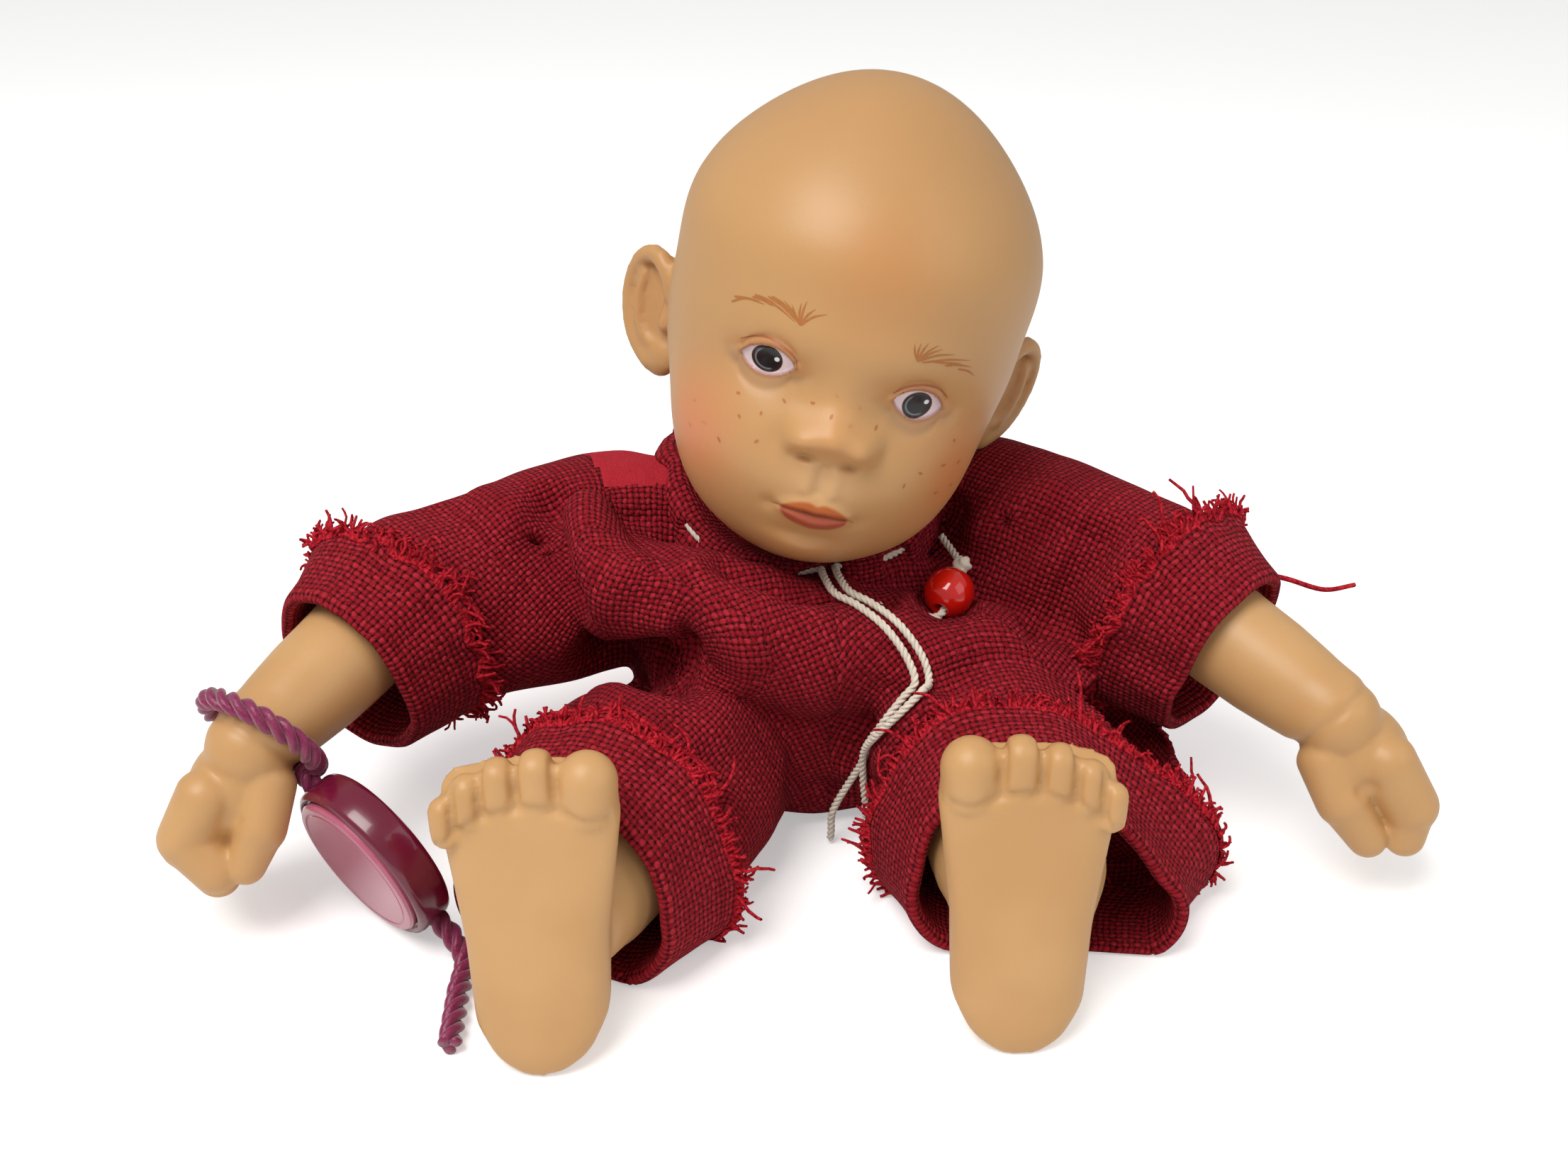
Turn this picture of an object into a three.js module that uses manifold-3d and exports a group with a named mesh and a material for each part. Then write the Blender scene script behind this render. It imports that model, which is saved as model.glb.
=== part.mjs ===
// A seated soft-bodied vinyl baby doll in a woven romper, about 21 cm long when laid out.
// Millimetres, +Z up. The origin is the middle of the flat seat. The doll faces -Y, its right side at -X.
import * as THREE from "three";
import { mergeVertices } from "three/addons/utils/BufferGeometryUtils.js";
import Module from "manifold-3d";

const wasm = await Module();
wasm.setup();

// Driving dimensions
const gap = 0.35; // clearance between pieces that touch
const weave = 1.2; // thickness of the romper's coarse cotton
const lining = 0.9; // thickness of the stuffed body's cotton
const wall = 2.2; // thickness of the vinyl
const head = { halfWidth: 28.2, halfDepth: 33, halfHeight: 36, roll: 12.5, yaw: -18 };
const ear = { height: 19, width: 12.5, thick: 4.6, flare: 38, back: 4, drop: 10.5 };
const neck = { radius: 11, groove: 8.6, flange: 3, length: 10.6, back: 4, lift: 2.5 };
const tie = { width: 1.8, thick: 1.3, lock: 2.8 };
const groove = { width: 5.4, slope: 0.7 };
const torso = { halfWidth: 33, halfDepth: 29, height: 43, forward: -4.5, lean: -4.6 };
const neckline = { radius: 23, rise: 8.5, gathers: 9, depth: 1.1, ruffle: 4 };
const shoulder = { halfSpan: 25, back: 4, drop: 4.5, radius: 8.2, stub: 16 };
const hip = { halfSpan: 19, front: -15.5, radius: 10.4, stub: 26 };
const arm = { radius: 8.3, wrist: 6.5, upper: 26, fore: 36, groove: 5.4 };
const hand = { length: 24.5, width: 17, thick: 14.5, thumb: 4.4, finger: 4.3 };
const leg = { calf: 13, ankle: 9.6, length: 36, groove: 7.4, bow: 2.6 };
const limbFlange = 6; // how far each vinyl limb reaches into its cloth stub
const foot = { length: 40, halfWidth: 12.3, heel: 9.4, height: 14, slope: 20, toe: 3.3 };
const sleeve = { start: 12, end: 15.6, sag: 2.5, reach: 3, cuff: 13, folds: 5, foldDepth: 0.8 };
const trouser = { start: 13.4, end: 22.2, spread: 6, reach: 35, cuff: 13, folds: 5, foldDepth: 0.8 };
const cord = { radius: 0.65, knot: 1.4 };
const bead = { radius: 4.05, hole: 1.1 };
const wristCord = { radius: 1.75, tail: 21 };
const tag = { radius: 13.6, thick: 6, face: 1.4, rim: 1.2, recess: 0.6 };

// How each limb lies: the ways it points and bends, and how far its foot turns in
const armPose = {
  right: { side: -1, aim: [-40.8, -5.3, -0.5], fore: [-24.2, -24.8, -8], reach: [-11, -4, -24] },
  left: { side: 1, aim: [27.7, -33.1, 1], fore: [16.6, -29, -9.6], reach: [12.4, -6, -21.5] },
};
const legPose = {
  right: { side: -1, aim: [-46.2, -59, -1.2], toes: [0, 0.1, 1], turn: 22 },
  left: { side: 1, aim: [-11.8, -70, -1.2], toes: [0.06, 0.1, 1], turn: 4 },
};
const thumbWay = [-0.24, -0.97, 0]; // both thumbs lie to the front

// Finishes
const finish = (color, roughness) => new THREE.MeshStandardMaterial({ color, roughness, metalness: 0 });
const vinyl = finish(0xd9a86c, 0.45);
const cotton = finish(0x8e1f33, 0.95);
const bodyCotton = finish(0xe6d3bd, 0.95);
const fibre = finish(0xf0efe9, 0.95);
const nylon = finish(0xf2f2ee, 0.5);
const string = finish(0xd9cdb8, 0.85);
const satin = finish(0x6e1035, 0.4);
const redGloss = finish(0xd81408, 0.12);
const tagRed = finish(0x6d0a2b, 0.25);
const tagPink = finish(0xc0607e, 0.3);

// Vectors, solids and the named pieces
const vec = (x = 0, y = 0, z = 0) => new THREE.Vector3(x, y, z);
const rad = THREE.MathUtils.degToRad;
const mix = THREE.MathUtils.lerp;
const smooth = THREE.MathUtils.smoothstep;
const up = vec(0, 0, 1);

function solidOf(geometry) {
  const bare = new THREE.BufferGeometry().setAttribute("position", geometry.getAttribute("position"));
  if (geometry.index) bare.setIndex(geometry.index);
  const merged = mergeVertices(bare, 1e-3);
  return new wasm.Manifold(new wasm.Mesh({
    numProp: 3,
    vertProperties: new Float32Array(merged.attributes.position.array),
    triVerts: new Uint32Array(merged.index.array),
  }));
}

function geometryOf(solid) {
  const mesh = solid.getMesh();
  const points = new Float32Array(mesh.numVert * 3);
  for (let i = 0; i < mesh.numVert; i++) {
    points.set(mesh.vertProperties.subarray(i * mesh.numProp, i * mesh.numProp + 3), i * 3);
  }
  return new THREE.BufferGeometry()
    .setAttribute("position", new THREE.BufferAttribute(points, 3))
    .setIndex(new THREE.BufferAttribute(mesh.triVerts, 1));
}

const join = (...solids) => solids.reduce((a, b) => a.add(b));
const cut = (solid, ...tools) => tools.reduce((a, b) => a.subtract(b), solid);
const largest = (solid) => solid.decompose().sort((a, b) => b.volume() - a.volume())[0];
const placed = (solid, matrix) => solid.transform(matrix.elements);

const doll = new THREE.Group();
function piece(name, solid, material) {
  const mesh = new THREE.Mesh(geometryOf(solid), material);
  mesh.name = name;
  doll.add(mesh);
}

const middleOf = (points) => points.reduce((sum, p) => sum.add(p), vec()).divideScalar(points.length);

// A closed skin over rings with equal counts of points, with a fan of faces at each end
function loft(rings) {
  const count = rings[0].length;
  const points = rings.flat();
  const faces = [];
  const skin = (r, i) => {
    const a = r * count + i;
    const b = r * count + ((i + 1) % count);
    faces.push(a, b, b + count, a, b + count, a + count);
  };
  for (let r = 0; r + 1 < rings.length; r++) for (let i = 0; i < count; i++) skin(r, i);
  for (const first of [true, false]) {
    const base = first ? 0 : (rings.length - 1) * count;
    const middle = points.length;
    points.push(middleOf(rings[first ? 0 : rings.length - 1]));
    for (let i = 0; i < count; i++) {
      const edge = [base + i, base + ((i + 1) % count)];
      faces.push(middle, ...(first ? edge.reverse() : edge));
    }
  }
  return solidOf(new THREE.BufferGeometry().setFromPoints(points).setIndex(faces));
}

// Points round a centre on two half axes. A power of 2 is an ellipse, and more is squarer
function ring(centre, u, v, halfU, halfV, count, power = 2) {
  return Array.from({ length: count }, (_, i) => {
    const c = Math.cos((2 * Math.PI * i) / count);
    const s = Math.sin((2 * Math.PI * i) / count);
    const reach = (Math.abs(c) ** power + Math.abs(s) ** power) ** (-1 / power);
    return centre.clone().addScaledVector(u, halfU * c * reach).addScaledVector(v, halfV * s * reach);
  });
}

const ellipsoid = (at, half, across = 18, down = 12) =>
  solidOf(new THREE.SphereGeometry(1, across, down).scale(...half).translate(at.x, at.y, at.z));

// A solid turned about Z from [radius, height] pairs
const turned = (profile, segments = 20) => solidOf(
  new THREE.LatheGeometry(profile.map(([r, z]) => new THREE.Vector2(r, z)), segments).rotateX(Math.PI / 2));

// A round tube along a smooth curve
function tube(points, radius, steps, closed = false, sides = 8) {
  const path = new THREE.CatmullRomCurve3(points, closed, "centripetal");
  const circle = new THREE.Path().absarc(0, 0, radius, 0, 2 * Math.PI);
  const section = new THREE.Shape(circle.getPoints(sides).slice(0, sides));
  return solidOf(new THREE.ExtrudeGeometry(section, { steps, extrudePath: path }));
}

// A frame at a place, with Z along aim and X as near as can be to lean
function frameOf(at, aim, lean) {
  const z = vec(...aim).normalize();
  const x = vec(...lean).addScaledVector(z, -vec(...lean).dot(z)).normalize();
  return new THREE.Matrix4().makeBasis(x, vec().crossVectors(z, x), z).setPosition(at);
}

// Head: an ellipsoid skull drawn out into a baby's face by soft swellings [x, z, width, height, push]
const pair = (x, ...rest) => [[x, ...rest], [-x, ...rest]];
const faceSwellings = [
  [0, -26, 15, 11, 2.6], ...pair(13, -17, 9, 8, 2), ...pair(9, 0.5, 9, 4, 0.9),
  ...pair(11.6, -5.5, 6, 3.6, -1.8),
  [0, -8, 3.4, 5, 1], [0, -13.4, 3.9, 3.2, 4.6], ...pair(4.3, -14.8, 2.6, 2.2, 2),
  [0, -22.4, 4.6, 1.6, 1.3], [0, -25.6, 3.8, 1.7, 1.4], [0, -32, 6.5, 4, 2],
];

function headPoint(way, inset) {
  const crown = 1 + 0.075 * smooth(way.z, 0, 0.45) * (1 - smooth(way.z, 0.5, 1));
  const p = vec(way.x * head.halfWidth * crown, way.y * head.halfDepth * crown, way.z * head.halfHeight);
  p.y -= 7 * smooth(way.y, 0.1, 0.9) * smooth(-way.z, 0.15, 0.8); // the nape
  p.multiplyScalar(1 + 0.18 * smooth(-way.y, 0.1, 0.55) * smooth(-way.z, 0.2, 0.75)); // the full lower face
  p.z += 9 * smooth(way.y, -0.5, 0) * smooth(-way.z, 0.5, 0.95); // under the jaw
  if (inset === 0) {
    const front = smooth(-way.y, 0.05, 0.5);
    for (const [x, z, width, height, push] of faceSwellings) {
      p.y -= push * front * Math.exp(-(((p.x - x) / width) ** 2) - ((p.z - z) / height) ** 2);
    }
  }
  return p.multiplyScalar(1 - inset / head.halfWidth);
}

// Concentric rings about the nose, closest where the face needs the finest facets
function skull(across, down, inset) {
  const ways = Array.from({ length: down - 1 }, (_, i) => {
    const away = (i + 1) / down;
    const polar = Math.PI * mix(away, away ** 1.5, 0.7);
    return ring(vec(0, -Math.cos(polar)), up, vec(1), Math.sin(polar), Math.sin(polar), across);
  });
  return loft(ways.map((level) => level.map((way) => headPoint(way, inset))));
}

function vinylEar(side) {
  const half = ear.width / 2;
  const lobe = ellipsoid(vec(half), [half + 2, ear.thick / 2, ear.height / 2], 12, 10);
  const hollow = [half - 1.2, ear.thick / 2, ear.height / 2 - 3];
  const dish = ellipsoid(vec(half + 0.6, -ear.thick / 2, 0.8), hollow, 10, 8);
  const place = new THREE.Matrix4().makeRotationZ(rad(ear.flare))
    .setPosition(head.halfWidth - 4.4, ear.back, -ear.drop);
  const leftEar = placed(cut(lobe, dish), place);
  return side > 0 ? leftEar : leftEar.mirror([1, 0, 0]);
}

const neckTop = 12 - head.halfHeight;
const neckEnd = neckTop - neck.length - neck.flange - 2;
const neckGroove = neckEnd + neck.flange + groove.width / 2;

// The outline of a stem round the groove that takes a tie
const grooved = (radius, waist, middle) => [[radius, middle - groove.width / 2],
  [waist, middle - groove.width / 2 + groove.slope], [waist, middle + groove.width / 2 - groove.slope],
  [radius, middle + groove.width / 2]];

function vinylHead() {
  const bore = neck.groove - wall;
  const stem = turned([[0, neckEnd], [neck.radius, neckEnd],
    ...grooved(neck.radius, neck.groove, neckGroove), [neck.radius, neckTop + 4], [0, neckTop + 4]]);
  const hole = turned([[0, neckEnd - 1], [bore, neckEnd - 1], [bore, neckTop + 7], [0, neckTop + 7]], 16);
  const shell = join(skull(28, 23, 0), vinylEar(1), vinylEar(-1), stem.translate([0, neck.back, 0]));
  return cut(shell, skull(14, 9, wall + 1), hole.translate([0, neck.back, 0]));
}

const neckBase = vec(torso.lean, shoulder.back + 1, torso.height + neck.lift);
const headFrame = new THREE.Matrix4()
  .makeRotationFromEuler(new THREE.Euler(0, rad(head.roll), rad(head.yaw), "ZYX"));
headFrame.setPosition(neckBase.clone().sub(vec(0, neck.back, neckEnd + 1).applyMatrix4(headFrame)));
piece("head", placed(vinylHead(), headFrame), vinyl);

// A nylon tie round a groove, with its square locking head
function strap(inside, at) {
  const half = tie.width / 2;
  const outside = inside + tie.thick;
  const band = turned([[inside, at - half], [outside, at - half], [outside, at + half], [inside, at + half],
    [inside, at - half]], 16);
  const lock = new THREE.BoxGeometry(tie.lock, tie.lock * 0.7, tie.width + 0.4)
    .translate(0, outside + tie.lock * 0.25, at);
  return join(band, solidOf(lock));
}

// Body cotton drawn into a groove under its tie: the outline down its outside and back up its inside
function drawnIn(radius, waist, middle, high) {
  const inside = radius + gap;
  const outside = inside + lining;
  const half = groove.width / 2 - groove.slope - gap * 1.2;
  const narrow = half - lining * 0.5;
  const dip = waist + gap;
  return [[outside, middle - half - 1], [dip + lining, middle - narrow], [dip + lining, middle + narrow],
    [outside, middle + half + 0.6], [outside, high], [inside, high], [inside, middle + half + 0.5],
    [dip, middle + half], [dip, middle - half], [inside, middle - half - 0.5]];
}

const strapInside = (waist) => waist + lining + 2 * gap;
const neckHem = neckEnd - 1;
const neckSkirt = neck.radius + gap;
const neckDraw = drawnIn(neck.radius, neck.groove, neckGroove, neckGroove + groove.width / 2 + 0.2);
const neckCloth = turned([[neckSkirt, neckHem], [neckSkirt + lining, neckHem], ...neckDraw,
  [neckSkirt, neckHem]], 14);
const neckTie = strap(strapInside(neck.groove), neckGroove);
piece("neck_cloth", placed(neckCloth.translate([0, neck.back, 0]), headFrame), bodyCotton);
piece("neck_tie", placed(neckTie.translate([0, neck.back, 0]), headFrame), nylon);

// Torso: a soft sitting body that swells at the belly and draws in to an opening at the top
const girths = new THREE.SplineCurve([[0, 0.84], [0.1, 0.96], [0.35, 1], [0.65, 1], [1, 0.92]]
  .map(([height, share]) => new THREE.Vector2(height, share)));

function torsoRings(inset, opening, { pleats = 0, rise = 0, count = 16 } = {}) {
  const levels = 7;
  return Array.from({ length: levels + 1 }, (_, i) => {
    const share = i / levels;
    const draw = smooth(share, 0.72, 1);
    const girth = girths.getPoint(share).y;
    const across = mix(torso.halfWidth * girth, opening, draw) - inset;
    const deep = mix(torso.halfDepth * girth, opening, draw) - inset;
    const y = mix(torso.forward * Math.sin(share * Math.PI) ** 0.6, shoulder.back + 1, draw * 0.6);
    const centre = vec(torso.lean * share, y, mix(inset, torso.height - Math.max(0, inset), share));
    return ring(centre, vec(1), vec(0, 1), across, deep, count, 2.2).map((p, k) => {
      const out = p.clone().sub(centre).setZ(0);
      const wave = Math.cos((2 * Math.PI * neckline.gathers * k) / count) - 1;
      const fold = 0.5 * pleats * smooth(share, 0.5, 1) * wave;
      const lift = rise * draw * smooth(out.y / deep, -1, 0.2);
      return p.addScaledVector(out.normalize(), fold).addScaledVector(up, lift);
    });
  });
}

const raised = (level, height) => level.map((p) => p.clone().setZ(p.z + height));
const opened = (rings, height = 8) => loft([...rings, raised(rings[rings.length - 1], height)]);
const neckOpening = neck.radius + 2 * gap + lining + 1;
const bodyInset = weave + 3 * gap;
const torsoOuter = loft(torsoRings(bodyInset, neckOpening + bodyInset + lining));
const torsoGrown = loft(torsoRings(bodyInset - gap, neckOpening + bodyInset + lining));
const torsoSpace = opened(torsoRings(bodyInset + lining, neckOpening + bodyInset + lining));
const neckRoom = placed(turned([[0, neckEnd - 6], [neckOpening, neckEnd - 6], [neckOpening, neckTop],
  [0, neckTop]]).translate([0, neck.back, 0]), headFrame);
const filling = loft(torsoRings(bodyInset + lining + gap, neckOpening + bodyInset + lining));
piece("torso_cloth", cut(torsoOuter, torsoSpace, neckRoom), bodyCotton);
piece("torso_filling", cut(filling, neckRoom), fibre);

// Limbs: each is built along its own Z from the joint in the cloth body, then turned to lie as it does
const sideName = (side) => (side < 0 ? "right" : "left");
const inStub = (radius) => radius - gap - lining;

function stubCloth(radius, stub, waist) {
  const inner = inStub(radius);
  const end = stub - limbFlange - gap;
  return turned([[0, -6], [radius, -6], ...drawnIn(inner, waist, stub, stub + groove.width / 2 + 0.8),
    [inner + gap, end], [0, end]], 13);
}

// A round limb over [height, radius, sideways] stations along Z
const limb = (stations, count = 14) => loft(stations.map(([z, radius, y = 0]) =>
  ring(vec(0, y, z), vec(1), vec(0, 1), radius, radius, count)));

const flanged = (radius, waist, stub) => [[stub - limbFlange, radius],
  ...grooved(radius, waist, stub).map(([r, z]) => [z, r]), [stub + groove.width / 2 + 1.6, radius]];

function vinylArm(bend) {
  const elbow = shoulder.stub + arm.upper;
  const way = (turn) => vec(Math.sin(turn), 0, Math.cos(turn));
  const upper = [...flanged(inStub(shoulder.radius), arm.groove, shoulder.stub),
    [shoulder.stub + 9, arm.radius], [elbow - 9, arm.radius * 1.02]]
    .map(([z, radius]) => [vec(0, 0, z), radius, 0]);
  const fore = [[9, 1.04], [18, 1], [arm.fore - 7, 0.88], [arm.fore, arm.wrist / arm.radius]]
    .map(([d, share]) => [vec(0, 0, elbow).addScaledVector(way(bend), d), arm.radius * share, bend]);
  const crook = [[vec(0, 0, elbow - 2).addScaledVector(way(bend), 2), arm.radius * 0.98, bend / 2]];
  return loft([...upper, ...crook, ...fore].map(([at, radius, turn]) =>
    ring(at, vec(Math.cos(turn), 0, -Math.sin(turn)), vec(0, 1), radius, radius, 12)));
}

// A chubby half-closed hand from the wrist along Z, with its thumb towards X and its palm to the body
function vinylHand(side) {
  const { length, width, thick, thumb, finger } = hand;
  const heel = ellipsoid(vec(), Array(3).fill(arm.wrist), 10, 6);
  const palm = ellipsoid(vec(0, 0, length * 0.38), [width * 0.47, thick / 2, length * 0.42], 10, 8);
  const fingers = [-1.5, -0.5, 0.5, 1.5].map((step, i) => ellipsoid(
    vec(step * finger * 0.94, side * 1.6, length * [0.64, 0.69, 0.71, 0.69][i]),
    [finger * 0.62, thick * 0.52, length * 0.24], 8, 6));
  const ball = ellipsoid(vec(), [thumb * 0.8, thumb * 0.85, length * 0.27], 8, 6).rotate([side * 12, 0, 0]);
  return join(heel, palm, ball.translate([width * 0.3, side * thick * 0.42, length * 0.5]), ...fingers);
}

function vinylLeg(side, turn) {
  const ankle = hip.stub + leg.length;
  const bowed = (share) => -side * leg.bow * share; // outwards, so the feet turn in
  const shank = limb([...flanged(inStub(hip.radius), leg.groove, hip.stub),
    [hip.stub + 8, leg.calf * 0.94, bowed(0.5)], [hip.stub + 17, leg.calf, bowed(1)],
    [ankle - 12, leg.calf * 0.96, bowed(1)], [ankle - 4, leg.ankle * 1.08, bowed(0.5)],
    [ankle, leg.ankle * 0.95, bowed(0.2)]], 14);
  const turnIn = new THREE.Matrix4().makeRotationX(rad(-side * turn)).setPosition(0, 0, ankle);
  return join(shank, placed(vinylFoot(side), turnIn));
}

// A foot with its sole to +Z, its toes to +X and its heel on the floor. The big toe is on the inner side
function vinylFoot(side) {
  const inner = side; // Y of the big toe
  const shares = [[0, 0.5], [0.04, 0.78], [0.14, 1], [0.4, 1.06], [0.62, 1.2], [0.8, 1.33], [0.92, 1.26]];
  const slope = 0.8 * Math.tan(rad(foot.slope));
  const low = 2.8 - legHeight;
  const mid = foot.height * 0.42;
  const sole = shares.map(([along, share]) => {
    const x = low + along * foot.length;
    const taper = mix(1, 0.62, smooth(along, 0.2, 0.9)) * mix(0.6, 1, smooth(along, -0.1, 0.12));
    const deep = foot.height * taper;
    const width = Math.min(foot.heel * share, foot.halfWidth);
    const centre = vec(x, inner * 0.6 * along, mid - deep * 0.08 - along * foot.length * slope);
    return ring(centre, vec(0, 1), vec(-slope, 0, 1).normalize(), width, deep / 2, 16, 2.5);
  });
  const toes = [1.2, 0.82, 0.78, 0.74, 0.7].map((share, k) => {
    const size = foot.toe * share;
    const y = inner * (foot.halfWidth - foot.toe * [1.15, 2.95, 4.3, 5.55, 6.6][k]);
    const along = 0.93 - [0, 0, 0.03, 0.08, 0.15][k];
    const at = vec(low + along * foot.length, y, mid - along * foot.length * slope);
    return ellipsoid(at, [size * 1.35, size, size * 1.15], 8, 6);
  });
  return join(loft(sole), ...toes);
}

// A loose cloth tube over stations [place, half width, half height, fold], never below the floor
function clothTube(stations, inset, floor, folds, depth) {
  const count = 16;
  return loft(stations.map(([at, halfWidth, halfHeight, amount], i) => {
    const before = stations[Math.max(i - 1, 0)][0];
    const way = stations[Math.min(i + 1, stations.length - 1)][0].clone().sub(before).normalize();
    const across = vec().crossVectors(up, way).normalize();
    const rise = vec().crossVectors(way, across);
    return ring(at, across, rise, halfWidth - inset, halfHeight - inset, count).map((p, k) => {
      const out = p.clone().sub(at).normalize();
      p.addScaledVector(out, depth * amount * Math.cos((2 * Math.PI * folds * k) / count + i * 0.5));
      return p.setZ(Math.max(p.z, floor + inset));
    });
  }));
}

// The same stations with both ends carried on by 3 mm, so that the hollow runs clean through
function carriedOn(stations) {
  const beyond = (end, next) => {
    const [at, ...rest] = end;
    return [at.clone().addScaledVector(at.clone().sub(next[0]).normalize(), 3), ...rest];
  };
  const last = stations.length - 1;
  return [beyond(stations[0], stations[1]), ...stations, beyond(stations[last], stations[last - 1])];
}

// The romper's four tubes are cut to fit the bodice further down
const clothTubes = [];
const legHeight = leg.calf + 2 * weave + 2 * gap + 0.6;

function buildArm({ side, aim, fore, reach }) {
  const name = sideName(side);
  const at = vec(torso.lean + side * shoulder.halfSpan, shoulder.back, torso.height - shoulder.drop);
  const frame = frameOf(at, aim, fore);
  const bend = vec(...aim).angleTo(vec(...fore));
  const elbow = shoulder.stub + arm.upper;
  const onUpper = (d) => vec(0, 0, d).applyMatrix4(frame);
  const onFore = (d) => onUpper(elbow).addScaledVector(vec(...fore).normalize(), d);
  const station = (p, share, grow = 0) => {
    const half = mix(sleeve.start, sleeve.end, share) + grow;
    return [p.addScaledVector(up, -sleeve.sag * mix(0.25, 1, share)), half, half, smooth(share, 0, 0.4)];
  };
  const tubeOf = (list, inset) => clothTube(list, inset, 0, sleeve.folds, sleeve.foldDepth);
  const route = [station(onUpper(-12), 0), station(onUpper(4), 0.1), station(onUpper(17), 0.35),
    station(onUpper(30), 0.65), station(onFore(-5), 0.9), station(onFore(sleeve.reach), 1)];
  const bandAt = (d, grow) => station(onFore(sleeve.reach + d), 1, grow);
  const band = [[gap, 0.8], [sleeve.cuff * 0.3, 1.3], [sleeve.cuff * 0.75, 1.3], [sleeve.cuff, 0.8]]
    .map(([d, grow]) => bandAt(d, grow));
  const room = [bandAt(0, 3), bandAt(sleeve.cuff + 8, 3)];
  clothTubes.push({ name: `${name}_sleeve`, outer: tubeOf(route, 0), inner: tubeOf(carriedOn(route), weave),
    room: tubeOf(room, 0) });
  const wrist = frameOf(onFore(arm.fore), reach, thumbWay);
  piece(`${name}_arm`, join(placed(vinylArm(bend), frame), placed(vinylHand(side), wrist)), vinyl);
  piece(`${name}_arm_tie`, placed(strap(strapInside(arm.groove), shoulder.stub), frame), nylon);
  const stub = placed(stubCloth(shoulder.radius, shoulder.stub, arm.groove), frame);
  piece(`${name}_upper_arm_cloth`, cut(stub, torsoGrown), bodyCotton);
  piece(`${name}_sleeve_cuff`, cut(tubeOf(band, 0), tubeOf(carriedOn(band), 2 * weave)), cotton);
  return { frame, bend, onFore };
}

function buildLeg({ side, aim, toes, turn }) {
  const name = sideName(side);
  const at = vec(torso.lean * 0.3 + side * hip.halfSpan, hip.front, legHeight);
  const frame = frameOf(at, aim, toes);
  const level = vec(...aim).setZ(0).normalize();
  const outward = vec().crossVectors(level, up).multiplyScalar(-side);
  const station = (d, share, grow = 0) => {
    const half = mix(trouser.start, trouser.end, share) + grow;
    const p = at.clone().addScaledVector(level, d).addScaledVector(outward, trouser.spread * share);
    p.setZ(mix(at.z, trouser.end * 0.86, share));
    return [p, half, half * mix(0.95, 0.88, share), smooth(share, 0, 0.4)];
  };
  const tubeOf = (list, inset, floor) => clothTube(list, inset, floor, trouser.folds, trouser.foldDepth);
  const onFloor = weave + gap;
  const route = [[-12, 0], [4, 0.08], [15, 0.42], [25, 0.8], [trouser.reach, 1]]
    .map(([d, share]) => station(d, share));
  const bandAt = (d, grow) => station(trouser.reach + d, 1, grow);
  const band = [[gap, 0.8], [trouser.cuff * 0.3, 1.4], [trouser.cuff * 0.75, 1.4], [trouser.cuff, 0.8]]
    .map(([d, grow]) => bandAt(d, grow));
  const room = [bandAt(0, 3), bandAt(trouser.cuff + 8, 3)];
  clothTubes.push({ name: `${name}_trouser_leg`, outer: tubeOf(route, 0, onFloor),
    inner: tubeOf(carriedOn(route), weave, onFloor), room: tubeOf(room, 0, -3) });
  piece(`${name}_leg`, placed(vinylLeg(side, turn), frame), vinyl);
  piece(`${name}_leg_tie`, placed(strap(strapInside(leg.groove), hip.stub), frame), nylon);
  const stub = placed(stubCloth(hip.radius, hip.stub, leg.groove), frame);
  piece(`${name}_thigh_cloth`, cut(stub, torsoGrown), bodyCotton);
  piece(`${name}_trouser_cuff`, cut(tubeOf(band, 0, 0), tubeOf(carriedOn(band), 2 * weave, 0)), cotton);
  // A place on the trouser: distance from the hip, degrees from its outer side over the top, distance off it
  const onCloth = (d, degrees, off) => {
    const share = mix(0, 1, smooth(d, -6, 37));
    const [p, halfWidth, halfHeight] = station(d, share, off);
    return p.addScaledVector(outward, halfWidth * Math.cos(rad(degrees)))
      .addScaledVector(up, halfHeight * Math.sin(rad(degrees)));
  };
  return { onCloth };
}

const rightArm = buildArm(armPose.right);
buildArm(armPose.left);
buildLeg(legPose.right);
const leftLeg = buildLeg(legPose.left);

// Romper: the bodice opens into the sleeves and the trouser legs, and its neckline is gathered
const pleated = 3 * neckline.gathers;
const romperRings = (inset, pleats = neckline.depth) =>
  torsoRings(inset, neckline.radius, { pleats, rise: neckline.rise, count: pleated });
const romperGrown = opened(romperRings(-gap), 20);
const bodice = cut(loft(romperRings(0)), opened(romperRings(weave)));
piece("romper_body", cut(bodice, ...clothTubes.map((t) => t.inner)), cotton);
for (const { name, outer, inner, room } of clothTubes) {
  piece(name, largest(cut(outer, inner, room, romperGrown)), cotton);
}

// A place on the bodice: degrees from the front to the doll's left, share of its height, and distance off it
function onBodice(degrees, rise, off) {
  const rings = romperRings(-off, 0);
  const place = ((degrees + 270) % 360) / 360 * pleated;
  const around = (level) =>
    level[Math.floor(place)].clone().lerp(level[Math.ceil(place) % pleated], place % 1);
  const floor = Math.min(Math.floor(rise * (rings.length - 1)), rings.length - 2);
  return around(rings[floor]).lerp(around(rings[floor + 1]), rise * (rings.length - 1) - floor);
}

// Drawstring: one cord from a free end, over the left thigh, round the neckline and back to its other free end
const seat = cord.radius + gap;
const stitched = (degrees) => onBodice(degrees, 1, -weave / 2).addScaledVector(up, seat + 0.5);
const round = Array.from({ length: 24 }, (_, i) => stitched(16 + (328 * i) / 23));
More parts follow.
